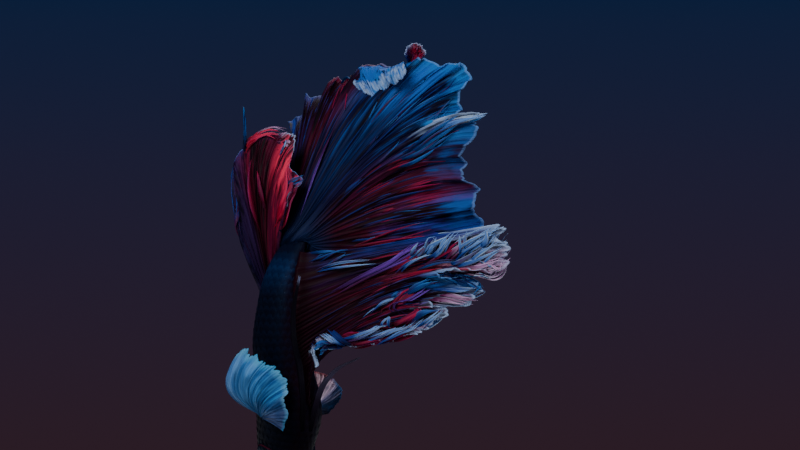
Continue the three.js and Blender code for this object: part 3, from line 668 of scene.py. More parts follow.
def fin_piece(name, surface, across, length, thick, slot, nodes, rays, fray):
    """A closed thin sheet over surface(u, v): both faces at half the local thickness from the
    middle, which tapers from thick[0] at the root to thick[1] at the margin, plus thick[2] of
    flesh at the very root and ribs on the rays. The margin is frayed. The map rays holds u and v,
    pleats how far a point lies on a crest of its own face, and OFBake lays the two faces side by
    side."""
    u, v = np.meshgrid(np.linspace(0, 1, across + 1), np.linspace(0, 1, length + 1) ** 0.9, indexing="ij")
    reach = frayed(u, *fray)
    middle_sheet, crest = surface(u, v * (1 + (reach - 1) * smooth_step(v, 0.55, 1.0)))
    normal = unit(np.cross(np.gradient(middle_sheet, axis=0), np.gradient(middle_sheet, axis=1)))
    ribs = 1 + 0.9 * ray_ridges(u, v, rays) * (1 - 0.5 * v)
    half = 0.5 * (thick[0] + (thick[1] - thick[0]) * v) * ribs + thick[2] * bell(v, 0.07)
    near, far = middle_sheet + normal * half[..., None], middle_sheet - normal * half[..., None]
    row, count = length + 1, (across + 1) * (length + 1)
    i, j = np.meshgrid(np.arange(across), np.arange(length), indexing="ij")
    a = (i * row + j).ravel()
    turned_faces = np.concatenate([np.stack([a, a + row, a + row + 1, a + 1], -1),
                                   count + np.stack([a, a + 1, a + row + 1, a + row], -1)])
    i, j = np.arange(across) * row, np.arange(length)
    tip_row, last = i + length, across * row + j
    edges = np.concatenate([np.stack([i, count + i, count + i + row, i + row], -1),
                            np.stack([tip_row, tip_row + row, count + tip_row + row, count + tip_row], -1),
                            np.stack([j, j + 1, count + j + 1, count + j], -1),
                            np.stack([last, count + last, count + last + 1, last + 1], -1)])
    ray_map = np.stack([u, v], -1).reshape(-1, 2)
    left, right = ray_map * (0.49, 0.98) + (0.003, 0.01), ray_map * (0.49, 0.98) + (0.507, 0.01)
    raised = np.concatenate([crest.ravel(), -crest.ravel()]) * 0.5 + 0.5
    return new_piece(name, np.concatenate([near.reshape(-1, 3), far.reshape(-1, 3)]),
                     np.concatenate([turned_faces, edges]).tolist(), slot, nodes,
                     OFBake=np.concatenate([left, right]), rays=np.concatenate([ray_map, ray_map]),
                     pleats=np.stack([raised, raised], -1))


NIGHT, INDIGO, WINE = (0.0016, 0.0012, 0.0045), (0.005, 0.005, 0.030), (0.012, 0.0008, 0.005)
NAVY, DUSK = (0.007, 0.013, 0.10), (0.016, 0.011, 0.085)
MAROON, CRIMSON, SCARLET = (0.068, 0.0025, 0.021), (0.19, 0.004, 0.036), (0.64, 0.018, 0.070)
ROYAL, STEEL, CYAN = (0.008, 0.050, 0.34), (0.002, 0.066, 0.28), (0.012, 0.20, 0.60)
VIOLET, BLUSH, PALE = (0.075, 0.018, 0.17), (0.50, 0.26, 0.40), (0.36, 0.50, 0.78)
AZURE, SALMON = (0.002, 0.125, 0.54), (0.84, 0.036, 0.105)


def fin_paint(name, streaks, rays, deep, light, outer, edge, edge_from, vein, root=None):
    """A fin's paint over its map of rays. Deep, light, outer and edge are hues over u, and
    edge_from is the v where the edge hue sets in: deep skin between long light streaks, which
    turn to the outer hue beyond half way and carry a painted highlight on the crests of the folds,
    painted shade in the folds' valleys, thin vein-coloured lines along the forked rays, and a margin
    of strands in the edge hue, set more on the crests. A root hue covers the start of the rays."""
    material, tree, shader = new_material(name, 0.5, Specular_IOR_Level=0.05)
    place, u, v = map_parts(tree, "rays")
    raised = map_parts(tree, "pleats")[1]

    def streaky(rate, down, shift=(0, 0, 0), detail=2, rough=0.5):
        """Noise drawn out along the rays."""
        return grain(place, 1.0, detail, rough, (streaks * rate, down, 1), shift)

    broad = streaky(0.4, 1.2)
    middling = streaky(1, 1.8, (3.1, 0, 0), 3, 0.6)
    fine = streaky(2.6, 4.5, (7.7, 0, 0), 2, 0.6)
    hair = streaky(6.0, 3.4, (1.7, 5, 0))
    patches = streaky(0.7, 7, (4.2, 0, 0))
    # deep skin and the light streaks on it, made strongest on the crests as a painted highlight
    shifted = plus(u, broad, 0.10, 0.5)
    deep_hue, light_hue, outer_hue, edge_hue = (
        ramp(shifted, *stops) for stops in (deep, light, outer, edge))
    turning = plus(v, middling, 0.9, 0.5)
    light_hue = mix(rise(turning, 0.45, 0.72), light_hue, outer_hue)
    out = ramp(v, (0.06, 0.0), (0.30, 0.45), (0.75, 1.0))
    streak_with_crest_highlight = rise(plus(middling, raised, 0.55, 0.5), 0.44, 0.66)
    colour = mix(times(streak_with_crest_highlight, out), deep_hue, light_hue)
    # painted shade: near-black in the valleys of the folds and in gaps from noise, less of it towards the
    # margin
    painted_valley_shade = ramp(plus(fine, raised, 0.5), (0.56, 0.85), (0.72, 0.0))
    colour = mix(times(painted_valley_shade, ramp(v, (0.5, 1.0), (1.0, 0.5))), colour, NIGHT)
    # lines along the rays, which fork twice
    lines = 0.0
    for count, low, high in ((rays, 0.0, 0.40), (2 * rays, 0.36, 0.72), (4 * rays, 0.66, 1.1)):
        near_ray = ramp(maths("PINGPONG", times(u, count), 0.5), (0.02, 1.0), (0.16, 0.0))
        held = ramp(v, (max(low - 0.04, 0), 0.0 if low else 1.0), (low + 0.04, 1.0),
                    (min(high - 0.04, 0.98), 1.0), (min(high, 1.0), 0.0 if high < 1 else 1.0))
        lines = maths("MAXIMUM", lines, times(near_ray, held))
    line_hue = mix(rise(middling, 0.44, 0.56), vein, light_hue)
    worn = times(rise(fine, 0.44, 0.58), out)
    colour = mix(times(lines, worn), colour, line_hue)
    # the margin's strands, set more on the crests as a painted highlight, the hue of the root and the very
    # rim
    past = maths("SUBTRACT", plus(v, fine, 0.5, 0.5), ramp(u, *edge_from))
    strands = plus(plus(times(hair, 0.5), patches, 0.6), raised, 0.4)
    share = times(rise(past, 0.0, 0.14), ramp(strands, (0.62, 0.15), (0.80, 1.0)))
    colour = mix(share, colour, mix(rise(middling, 0.46, 0.60, 0.5), edge_hue, light_hue))
    if root:
        near = ramp(plus(v, fine, 0.08), (0.10, 1.0), (0.24, 0.0))
        colour = mix(near, colour, root)
    colour = mix(rise(v, 0.982, 0.992, 0.8), colour, mix(0.3, edge_hue, PALE))
    paint(shader, colour, plus(hair, lines, 0.6), 0.5)
    return material


tail_middle, tail_out, tail_down, _, _, tail_half, _ = body_frame(BODY_LENGTH)


def tail_root(share):
    """Roots side by side across the end of the body, from belly to back, sunk 1 mm into it."""
    return tail_middle - 1.0 * tail_out + tail_down * (share * (tail_half - 0.1))[..., None]


tail_sheet = folded(tail_root, TAIL_RAYS, folds=11, growth=1.5, lean=0.5,
                    ruffles=((17, 0.34, 1.7), (38, 0.30, 1.8), (84, 0.09, 3.0)), seed=11)
tail = fin_piece(
    "tail_fin_sheet", tail_sheet, across=760, length=62, thick=(0.45, 0.12, 0.9), slot="tail_fin",
    nodes=("tail_fin",), rays=42, fray=(
        60, ((0.0, 0.015), (0.30, 0.018), (0.34, 0.06), (0.38, 0.02), (0.68, 0.014), (0.8, 0.04)), 5))
FAR_BLUE, LOW_BLUE = (0.045, 0.060, 0.50), (0.005, 0.080, 0.34)
tail.data.materials.append(fin_paint(
    "tail_paint", 34, 42,
    deep=((0.30, WINE), (0.40, INDIGO), (0.76, INDIGO), (0.82, WINE)),
    light=((0.0, ROYAL), (0.06, MAROON), (0.24, CRIMSON), (0.34, VIOLET), (0.40, DUSK), (0.54, DUSK),
           (0.66, STEEL), (0.72, DUSK), (0.77, CRIMSON), (0.86, MAROON), (0.92, NAVY), (1.0, MAROON)),
    outer=((0.10, FAR_BLUE), (0.17, CRIMSON), (0.23, (0.050, 0.003, 0.022)), (0.30, (0.030, 0.004, 0.026)),
           (0.345, AZURE), (0.42, STEEL), (0.56, AZURE), (0.70, AZURE), (0.77, MAROON), (0.90, MAROON),
           (1.0, ROYAL)),
    edge=((0.08, AZURE), (0.14, LOW_BLUE), (0.28, LOW_BLUE), (0.335, CYAN), (0.345, PALE), (0.375, PALE),
          (0.385, CYAN), (0.70, CYAN), (0.78, CRIMSON), (0.86, CRIMSON), (0.93, ROYAL)),
    edge_from=((0.0, 0.84), (0.07, 0.76), (0.16, 0.77), (0.26, 0.76), (0.33, 0.60), (0.38, 0.70),
               (0.44, 0.84), (0.66, 0.88)), vein=ROYAL, root=(0.008, 0.016, 0.060)))

# The pale frill that turns over at the top of the tail, and the small red tab beside it.
FRILL_RAYS = [
    # as for the tail fin, with the place across the tail fin where each ray leaves its margin
    [0, 0.83, 7.5, 75.4, 10, 8.6, 74, 7.5, 0.1],
    [0.22, 0.8, 8.9, 74.6, 6.5, 10.2, 72.5, 3.5, 0.2],
    [0.45, 0.775, 11, 74.3, 3.5, 12.5, 71.4, 0.5, 0.25],
    [0.6, 0.755, 12.5, 74.5, 1.5, 14.2, 71.9, -1, 0.25],
    [0.7, 0.74, 13.9, 75.4, 0, 14.9, 73.3, -2, 0.25],
    [0.86, 0.72, 15.5, 76.1, -2, 16.2, 73.5, -4, 0.25],
    [1, 0.705, 17, 76.8, -3.5, 17.5, 75, -5, 0.2],
]
TAB_RAYS = [
    [0, 0.7, 17.7, 77.5, 0, 17.2, 78.3, -1, 0.1],
    [0.35, 0.69, 18.1, 78.3, 0, 18, 79.7, -1.5, 0.15],
    [0.7, 0.675, 19.3, 78.5, -0.5, 19.9, 80, -2, 0.15],
    [1, 0.66, 20, 77.8, -1, 20.8, 78.3, -2.5, 0.1],
]
for name, rays, folds, deep, first, light, edge, start in (
        ("tail_frill_sheet", FRILL_RAYS, 3, AZURE, STEEL, CYAN, PALE, 0.50),
        ("tail_tab_sheet", TAB_RAYS, 1, CRIMSON, ROYAL, SCARLET, PALE, 0.80)):
    sheet = folded(rooted_on(tail_sheet, 0.965), rays, folds=folds, growth=1.2, lean=0.3,
                   ruffles=((9, 0.16, 1.4), (23, 0.08, 1.6)), seed=51)
    flap = fin_piece(name, sheet, across=200, length=30, thick=(0.16, 0.10, 0), slot="tail_fin", nodes=(),
                     rays=9, fray=(17, even(0.06), 9))
    streaked = (0, first), (0.5, light)
    flap.data.materials.append(fin_paint(name.replace("sheet", "paint"), 12, 9, ((0, first), (0.45, deep)),
                               streaked, streaked, even(edge), even(start), AZURE))

# ------------------------------------------------------------------ anal and dorsal fins
# The anal fin hangs from the belly line in three long lobes, wine red with white brushy ends.
# The dorsal fin stands off the back like a furled tulip: dark violet at its front, scarlet behind.
ANAL_RAYS = [
    # across, station of the root, then as for the tail fin
    [0, 21.5, 1.7, 29.2, -8.5, 2.9, 27.7, -10, 0.05],
    [0.05, 22, 2.2, 30.2, -9, 2.9, 29.8, -11.5, 0.05],
    [0.1, 22.5, 2.8, 31.2, -9.2, 4.5, 31.4, -11.5, 0.1],
    [0.17, 23.2, 4.4, 31.5, -9.6, 8.5, 31, -12, 0.2],
    [0.25, 24, 6.1, 31.7, -10, 12.4, 31.5, -13, 0.25],
    [0.33, 24.8, 7.8, 32.2, -10.4, 16.5, 32.4, -14, 0.3],
    [0.4, 25.6, 9.8, 32.8, -10.8, 20.9, 33.8, -15, 0.3],
    [0.45, 26.3, 11.2, 34, -11, 23.9, 36.9, -15.5, 0.3],
    [0.49, 27, 11.1, 35.1, -11, 20.9, 37.8, -14.5, 0.35],
    [0.54, 28, 13, 36.5, -11, 26.6, 37.7, -17, 0.45],
    [0.59, 29.2, 14.3, 37.7, -11, 29.8, 40.3, -18, 0.45],
    [0.64, 30.4, 13.6, 38.8, -10.5, 26.6, 41.6, -17, 0.45],
    [0.68, 31.5, 13.3, 39.7, -10, 23.1, 42.6, -16.5, 0.45],
    [0.74, 33, 14.6, 40.7, -10.5, 27.2, 43.6, -18.5, 0.55],
    [0.8, 34.5, 15.5, 41.6, -10.5, 31.5, 42.8, -19.5, 0.6],
    [0.86, 36.2, 15.9, 42.9, -10.5, 33, 45.2, -20, 0.55],
    [0.91, 38.5, 15.5, 44, -10.2, 33.1, 47.6, -19.5, 0.5],
    [0.95, 41, 14.3, 45.2, -9.8, 32.6, 49.4, -19, 0.45],
    [1, 45.5, 12, 46.8, -9, 32.2, 50.6, -18.5, 0.3],
]
DORSAL_RAYS = [
    [0, 38.5, -9.1, 46.2, -2, -10.2, 50.8, -1.5, 0.2],
    [0.1, 39.2, -9.7, 50.5, -1, -11, 55.8, 1, 0.2],
    [0.2, 39.9, -9.4, 53.8, 0, -10.9, 60.1, 3, 0.3],
    [0.28, 40.4, -8.8, 55.3, 1, -9.6, 63.5, 4.5, 0.4],
    [0.4, 41.1, -7.8, 56.4, 2.5, -7.3, 64.9, 6, 0.5],
    [0.52, 41.8, -6.3, 56.8, 2.5, -3.9, 65.9, 5.5, 0.5],
    [0.61, 42.4, -4.9, 56.4, 1.5, -1.3, 65.5, 4, 0.4],
    [0.69, 43, -4, 56.1, 0, -0.8, 63.4, 2, 0.3],
    [0.77, 43.5, -3.1, 54.7, -1, -1.8, 60, 0, 0.3],
    [0.86, 44, -2.4, 53.4, -2, 0.6, 57.7, -1.5, 0.3],
    [0.92, 44.4, -2.5, 52.1, -2.2, -1, 56, -2.5, 0.3],
    [1, 45, -3, 50.1, -2, -2, 53.4, -3, 0.2],
]


def body_root(angle):
    """Roots sunk 0.5 mm into the body along the line at an angle, as a function of station."""
    return lambda station: skin_point(station, np.full(np.shape(station), angle), -0.5)


anal_root, dorsal_root = body_root(0.0), body_root(np.pi)
anal_sheet = folded(anal_root, ANAL_RAYS, folds=9, growth=1.4, lean=0.5,
                    ruffles=((15, 0.34, 1.7), (33, 0.28, 1.9), (74, 0.12, 2.6)), seed=23)
dorsal_sheet = folded(dorsal_root, DORSAL_RAYS, folds=4, growth=1.1, lean=0.5,
                      ruffles=((9, 0.16, 1.6), (22, 0.06, 2.0)), seed=37)
anal = fin_piece(
    "anal_fin_sheet", anal_sheet, across=640, length=68, thick=(0.45, 0.12, 0.5), slot="anal_fin",
    nodes=("anal_fin",), rays=36, fray=(60, ((0.5, 0.05), (0.8, 0.04), (1.0, 0.03)), 8))
anal.data.materials.append(fin_paint(
    "anal_paint", 28, 36, deep=even(WINE),
    light=((0.0, WINE), (0.35, MAROON), (0.72, MAROON), (0.86, CRIMSON), (0.90, VIOLET), (1.0, ROYAL)),
    outer=((0.0, PALE), (0.20, CRIMSON), (0.56, CRIMSON), (0.62, AZURE), (0.72, CRIMSON), (0.80, SCARLET),
           (0.88, BLUSH), (0.94, VIOLET), (1.0, ROYAL)),
    edge=((0.55, PALE), (0.66, CYAN), (0.72, PALE), (0.80, BLUSH), (0.90, PALE)),
    edge_from=((0.0, 0.88), (0.04, 0.90), (0.15, 0.90), (0.42, 0.84), (0.50, 0.90), (0.58, 0.76),
               (0.70, 0.80), (0.80, 0.70), (0.92, 0.72), (1.0, 0.84)), vein=ROYAL))


dorsal = fin_piece(
    "dorsal_fin_sheet", dorsal_sheet, across=420, length=64, thick=(0.45, 0.14, 0.5), slot="dorsal_fin",
    nodes=("dorsal_fin",), rays=14, fray=(30, ((0.0, 0.02), (0.3, 0.03)), 3))
VIOLET_RIM = (0.05, 0.015, 0.08)
dorsal.data.materials.append(fin_paint(
    "dorsal_paint", 10, 14,
    deep=((0.0, (0.010, 0.006, 0.034)), (0.26, (0.016, 0.004, 0.030)), (0.36, WINE), (0.60, WINE),
          (0.68, MAROON), (0.85, MAROON), (0.94, INDIGO)),
    light=((0.0, (0.016, 0.010, 0.055)), (0.22, (0.030, 0.012, 0.070)), (0.32, CRIMSON), (0.54, MAROON),
           (0.63, SCARLET), (0.84, SCARLET), (0.94, MAROON), (1.0, INDIGO)),
    outer=((0.0, (0.018, 0.014, 0.080)), (0.22, (0.050, 0.018, 0.100)), (0.30, CRIMSON), (0.54, MAROON),
           (0.62, SALMON), (0.84, SALMON), (0.94, CRIMSON), (1.0, INDIGO)),
    edge=((0.26, ROYAL), (0.32, VIOLET_RIM), (0.54, VIOLET_RIM), (0.62, PALE), (0.74, PALE), (0.82, CYAN),
          (0.88, CYAN), (0.91, INDIGO)),
    edge_from=((0.0, 0.97), (0.3, 0.93), (0.6, 0.88), (0.70, 0.90), (0.8, 0.96), (0.86, 0.80), (1.0, 0.96)),
    vein=MAROON))

# The thin blue thread that stands up from the dorsal fin's front corner.
SPIKE_RAYS = [
    [0, 0.265, -9.6, 66.5, 4.5, -9.7, 70, 4.8, 0],
    [1, 0.3, -9.2, 66.5, 4.5, -9.6, 70, 4.8, 0],
]
thread_sheet = folded(rooted_on(dorsal_sheet, 0.95), SPIKE_RAYS, folds=1, growth=1.0, lean=0.0,
                      ruffles=((1, 0.02, 1.0),), seed=61)
thread = fin_piece("dorsal_thread_sheet", thread_sheet, across=6, length=60, thick=(0.18, 0.10, 0),
                   slot="dorsal_fin", nodes=(), rays=2, fray=(1, even(0.0), 9))
thread.data.materials.append(fin_paint(
    "thread_paint", 4, 2, even(INDIGO), even(AZURE), even(AZURE), even(CYAN), even(0.8), ROYAL))

# ------------------------------------------------------------------ strands of the fins
# The rolled edges, loose leaf-shaped ends and lighter streaks of the tail, anal and dorsal fins:
# tapered strands of fin skin that follow both faces of each fin and part from it at their tips.
ANAL_STRANDS = [
    [0.858, 0.23, 0.902, 0.455, 0.972, 0.73, 0.22, 8, 0.014, 0, 0.7],
    [0.866, 0.435, 0.904, 0.565, 0.94, 0.7, 0.29, 6, 0.012, 1, 0.5],
    [0.842, 0.515, 0.894, 0.605, 0.918, 0.71, 0.19, 3, 0.006, 3, 0.8],
    [0.906, 0.55, 0.932, 0.63, 0.974, 0.735, 0.24, 3, 0.01, 3, 0.9],
    [0.918, 0.65, 0.952, 0.74, 1, 0.835, 0.29, 5, 0.01, 3, 0.9],
    [0.892, 0.685, 0.934, 0.765, 1, 0.87, 0.29, 5, 0.01, 3, 1],
    [0.874, 0.74, 0.922, 0.81, 0.984, 0.9, 0.32, 5, 0.01, 3, 1],
    [0.852, 0.775, 0.902, 0.835, 0.95, 0.915, 0.32, 5, 0.012, 4, 1],
    [0.904, 0.82, 0.93, 0.915, 0.99, 1.005, 0.32, 6, 0.014, 3, 0.9],
    [0.856, 0.705, 0.904, 0.78, 0.938, 0.87, 0.25, 3, 0.007, 1, 0.9],
    [0.842, 0.78, 0.894, 0.885, 0.94, 1.01, 0.25, 6, 0.017, 3, 0.9],
    [0.82, 0.81, 0.86, 0.905, 0.904, 1.005, 0.25, 8, 0.017, 3, 0.9],
    [0.808, 0.83, 0.83, 0.925, 0.866, 1.01, 0.25, 8, 0.014, 4, 0.8],
    [0.8, 0.855, 0.778, 0.995, 0.832, 1.01, 0.25, 6, 0.014, 4, 0.8],
    [0.83, 0.88, 0.762, 1.04, 0.79, 0.995, 0.22, 3, 0.007, 3, 0.9],
    [0.836, 0.605, 0.856, 0.705, 0.848, 0.81, 0.25, 2, 0.008, 2, 0.7],
    [0.828, 0.7, 0.786, 0.855, 0.83, 0.92, 0.25, 5, 0.01, 2, 0.6],
    [0.968, 0.135, 0.97, 0.28, 0.954, 0.445, 0.14, 3, 0.007, 3, 0.5],
    [0.976, 0.12, 0.99, 0.26, 0.996, 0.385, 0.17, 6, 0.017, 2, 0.5],
    [0.522, 0.49, 0.556, 0.515, 0.598, 0.56, 0.17, 3, 0.007, 3, 0.8],
    [0.594, 0.55, 0.61, 0.58, 0.628, 0.625, 0.19, 3, 0.007, 2, 0.8],
    [0.598, 0.595, 0.632, 0.725, 0.662, 0.915, 0.36, 4, 0.008, 2, 0.8],
    [0.486, 0.675, 0.574, 0.615, 0.638, 0.77, 0.36, 6, 0.009, 1, 0.5],
    [0.464, 0.745, 0.556, 0.71, 0.608, 0.775, 0.16, 3, 0.007, 0, 0.8],
    [0.666, 1.055, 0.628, 0.995, 0.59, 1.005, 0.24, 8, 0.014, 2, 0.6],
    [0.592, 0.765, 0.576, 0.9, 0.586, 1, 0.22, 6, 0.007, 3, 0.7],
    [0.558, 0.8, 0.55, 0.915, 0.546, 1.025, 0.26, 8, 0.012, 4, 0.6],
    [0.16, 0.91, 0.266, 0.875, 0.398, 0.76, 0.24, 6, 0.007, 3, 0.9],
    [0.372, 0.785, 0.416, 0.72, 0.46, 0.685, 0.22, 2, 0.006, 3, 1.2],
    [0.216, 0.97, 0.312, 0.95, 0.4, 0.88, 0.22, 5, 0.01, 3, 0.9],
    [0.256, 1, 0.348, 0.96, 0.418, 0.935, 0.19, 5, 0.007, 3, 0.8],
    [0.414, 0.91, 0.446, 0.89, 0.452, 0.98, 0.43, 3, 0.007, 2, 0.8],
    [0.402, 0.97, 0.42, 0.99, 0.454, 0.99, 0.22, 3, 0.007, 3, 1],
    [0.274, 0.985, 0.322, 0.99, 0.384, 0.95, 0.25, 5, 0.007, 1, 0.5],
    [0.408, 0.78, 0.43, 0.81, 0.472, 0.885, 0.36, 5, 0.014, 1, 0.5],
    [0.172, 0.985, 0.222, 0.99, 0.286, 0.995, 0.22, 3, 0.007, 1, 0.5],
    [0.17, 0.975, 0.14, 0.96, 0.14, 0.8, 0.25, 3, 0.006, 5, 1],
    [0.145, 1.04, 0.12, 1.05, 0.1, 0.88, 0.23, 5, 0.012, 3, 1],
    [0.11, 1.05, 0.085, 1.05, 0.06, 1.02, 0.24, 5, 0.014, 2, 1],
]
TAIL_STRANDS = [
    [0.298, 0.58, 0.296, 0.76, 0.33, 0.895, 0.26, 7, 0.014, 2, 0.5],
    [0.306, 0.62, 0.326, 0.765, 0.350, 0.92, 0.30, 6, 0.012, 2, 0.7],
    [0.334, 0.70, 0.344, 0.86, 0.347, 1.03, 0.55, 5, 0.003, 3, 0.6],
    [0.045, 0.20, 0.072, 0.45, 0.088, 0.74, 0.13, 4, 0.012, 1, 0.25],
    [0.806, 0.97, 0.786, 0.77, 0.760, 0.60, 0.22, 7, 0.012, 1, 0.4],
    [0.742, 0.44, 0.722, 0.28, 0.69, 0.14, 0.16, 2, 0.004, 0, 0.5],
    [0.39, 0.70, 0.41, 0.82, 0.44, 0.95, 0.14, 5, 0.02, 2, 0.3],
]
DORSAL_STRANDS = [
    [0.306, 0.925, 0.386, 0.99, 0.532, 0.97, 0.36, 5, 0.02, 6, 0.5],
    [0.33, 0.985, 0.42, 1.03, 0.55, 1.01, 0.16, 4, 0.02, 4, 0.6],
    [0.554, 0.9, 0.582, 0.94, 0.588, 0.99, 0.3, 2, 0.01, 4, 0.5],
    [0.584, 0.845, 0.636, 0.885, 0.668, 0.965, 0.28, 2, 0.01, 4, 0.5],
    [0.618, 0.795, 0.638, 0.865, 0.62, 0.935, 0.25, 2, 0.01, 3, 0.5],
    [0.466, 0.205, 0.3, 0.42, 0.348, 0.75, 0.38, 3, 0.02, 1, 0.5],
    [0.560, 0.30, 0.496, 0.44, 0.446, 0.62, 0.28, 2, 0.02, 1, 0.6],
    [0.742, 0.30, 0.872, 0.55, 0.77, 1.03, 0.42, 4, 0.03, 6, 0.4],
    [0.808, 0.72, 0.846, 0.855, 0.86, 1.04, 0.32, 2, 0.01, 2, 0.4],
    [0.03, 0.465, 0.046, 1.05, 0.228, 0.87, 0.2, 5, 0.03, 5, 0.3],
]
STRAND_HUES = (
    # near the root, near the tip, rim
    ((0.040, 0.005, 0.08), (0.15, 0.030, 0.42), (0.26, 0.15, 0.80)),    # violet cord
    ((0.045, 0.001, 0.010), (0.40, 0.004, 0.045), (0.20, 0.012, 0.14)),  # crimson
    ((0.003, 0.014, 0.10), (0.006, 0.090, 0.42), (0.05, 0.32, 0.78)),   # azure
    ((0.006, 0.028, 0.20), (0.07, 0.27, 0.78), (0.72, 0.90, 1.0)),      # pale blue to white
    ((0.08, 0.006, 0.05), (0.58, 0.24, 0.56), (0.80, 0.84, 1.0)),       # rose to white
    ((0.002, 0.005, 0.04), (0.004, 0.025, 0.20), (0.006, 0.05, 0.30)),  # royal blue
    ((0.22, 0.002, 0.018), (0.76, 0.020, 0.070), (0.45, 0.06, 0.24)),   # salmon
)
STRAND_STEPS, STRAND_AROUND = 20, 6


def scatter(count, seed, u_range, v_range, run, width, hues, spread=0.012):
    """Rows of short streaks at random on a fin, along its rays."""
    draw = np.random.default_rng(seed)
    u, v = draw.uniform(*u_range, count), draw.uniform(*v_range, count)
    length, drift = draw.uniform(*run, count), draw.normal(0, spread, count)
    end = np.minimum(v + length, 1.0)
    return np.stack([u, v, u + 0.3 * drift, (v + end) / 2, u + drift, end,
                     draw.uniform(*width, count), np.full(count, 1), np.full(count, 0.002),
                     draw.choice(hues, count), np.full(count, 0.12)], -1)


def strands(name, surface, facing, rows, slot, seed):
    """Bundles of strands on a fin. Each row is three places (u, v) on the fin that a strand's
    middle line passes, its half width in mm, how many lie side by side, how far they scatter in
    u, their hue and how far they stand off. A strand's section is a flat hexagon and its width
    the sine of its length, both ends pointed. Facing is 1 or -1 for the face towards the front."""
    rows = np.tile(np.array(rows, float), (2, 1))
    side = np.repeat([facing, -facing], len(rows) // 2)
    pick = np.repeat(np.arange(len(rows)), rows[:, 7].astype(int))
    rows, side = rows[pick], side[pick]
    draw = np.random.default_rng(seed)
    shake = draw.normal(0, 1, (len(rows), 8))
    t = np.linspace(0, 1, STRAND_STEPS)
    first, middle_share, last = (1 - t) * (1 - 2 * t), 4 * t * (1 - t), t * (2 * t - 1)
    spread = rows[:, 8, None]
    u = sum(weight * (rows[:, 2 * k, None] + spread * (0.7 * shake[:, 6, None] + 0.5 * shake[:, k, None]))
            for k, weight in enumerate((first, middle_share, last)))
    shake[:, 5] = -np.abs(shake[:, 5])
    shake[:, [1, 4]] = 0.5 * (shake[:, [0, 3]] + shake[:, [2, 5]]) + 0.4 * shake[:, [1, 4]]
    v = sum(weight * (rows[:, 2 * k + 1, None] + (0.012 + spread) * 1.4 * shake[:, 3 + k, None])
            for k, weight in enumerate((first, middle_share, last)))
    u, v = np.clip(u, 0, 1), np.clip(v, 0.03, 1.04)
    base_line = surface(u, v)[0]
    across = surface(np.clip(u + 0.004, 0, 1), v)[0] - surface(np.clip(u - 0.004, 0, 1), v)[0]
    ray = surface(u, v + 0.01)[0] - surface(u, v - 0.01)[0]
    normal = unit(np.cross(ray, across)) * side[:, None, None]
    lift = rows[:, 10, None] * (0.35 + 0.65 * np.sin(np.pi * t) + 0.5 * t**2) * (1 + 0.25 * shake[:, 7, None])
    line = base_line + normal * lift[..., None]
    ahead = unit(np.gradient(line, axis=1))
    sideways = unit(np.cross(normal, ahead))
    upward = np.cross(sideways, ahead)
    half = rows[:, 6, None] * (1 + 0.25 * shake[:, 0, None]) * np.maximum(np.sin(np.pi * t**0.75), 0) + 0.012
    turn = np.linspace(0, 2 * np.pi, STRAND_AROUND, endpoint=False)
    ring = (sideways[:, :, None] * (half[..., None] * np.cos(turn))[..., None]
            + upward[:, :, None] * ((0.28 * half + 0.02)[..., None] * np.sin(turn))[..., None])
    points = np.concatenate([(line[:, :, None] + ring).reshape(len(rows), -1, 3),
                             line[:, [0]], line[:, [-1]]], 1)
    hue = (rows[:, 9] + 0.5) / len(STRAND_HUES)
    shade = np.broadcast_to(hue[:, None], (len(rows), points.shape[1]))
    down = np.concatenate([np.repeat(t, STRAND_AROUND), [0, 1]])
    rim = np.concatenate([np.tile(np.abs(np.cos(turn)), STRAND_STEPS), [0, 0]])
    column = int(np.ceil(np.sqrt(len(rows))))
    cell = np.stack([np.arange(len(rows)) % column, np.arange(len(rows)) // column], -1)[:, None] / column
    place = np.stack([np.concatenate([np.tile(turn / (2 * np.pi), STRAND_STEPS), [0, 0]]), down], -1)
    one = ring_faces(STRAND_STEPS, STRAND_AROUND)
    faces = [[corner + index * points.shape[1] for corner in face]
             for index in range(len(rows)) for face in one]
    return new_piece(name, points.reshape(-1, 3), faces, slot,
                     OFBake=(cell + place * 0.9 / column).reshape(-1, 2),
                     rays=np.stack([shade, np.broadcast_to(down, shade.shape)], -1).reshape(-1, 2),
                     pleats=np.stack([np.broadcast_to(rim, shade.shape), shade], -1).reshape(-1, 2))


strand_paint, tree, shader = new_material("strand_paint", 0.48, Specular_IOR_Level=0.10)
_, hue_place, down_strand = map_parts(tree, "rays")
rim = map_parts(tree, "pleats")[1]
bake_place = map_parts(tree, "OFBake")[0]
near_root, near_tip, at_rim = (ramp(hue_place, *(
    ((index + 0.5) / len(STRAND_HUES), hues[k]) for index, hues in enumerate(STRAND_HUES))) for k in range(3))
mottle = grain(bake_place, 1.0, 2, 0.6, (60, 26, 1))
blotch = grain(bake_place, 1.0, 1, 0.5, (16, 16, 1), (5, 0, 0))
down = plus(down_strand, mottle, 1.3, 0.5)
colour = mix(rise(down, 0.20, 0.95), near_root, near_tip)
colour = mix(times(rise(rim, 0.45, 0.95), rise(down, 0.25, 0.75)), colour, at_rim)
colour = mix(ramp(blotch, (0.34, 0.75), (0.48, 0.0)), colour, (0.06, 0.004, 0.03))
paint(shader, colour, mottle)
TAIL_STREAKS = np.concatenate([
    scatter(18, 71, (0.41, 0.66), (0.40, 0.60), (0.20, 0.34), (0.15, 0.30), (2, 5), 0.006),
    scatter(70, 72, (0.02, 0.33), (0.18, 0.62), (0.16, 0.38), (0.10, 0.24), (1, 1, 1, 5), 0.006),
    scatter(30, 73, (0.03, 0.68), (0.25, 0.75), (0.12, 0.25), (0.10, 0.18), (5, 2)),
])
ANAL_STREAKS = scatter(56, 74, (0.15, 0.98), (0.15, 0.55), (0.20, 0.40), (0.10, 0.24), (1, 1, 5), 0.008)
TAIL_FAN, ANAL_FAN, DORSAL_FAN = (
    lambda u, v, root=root, rays=rays: fan(u, v, root, rays)
    for root, rays in ((tail_root, TAIL_RAYS), (anal_root, ANAL_RAYS), (dorsal_root, DORSAL_RAYS)))
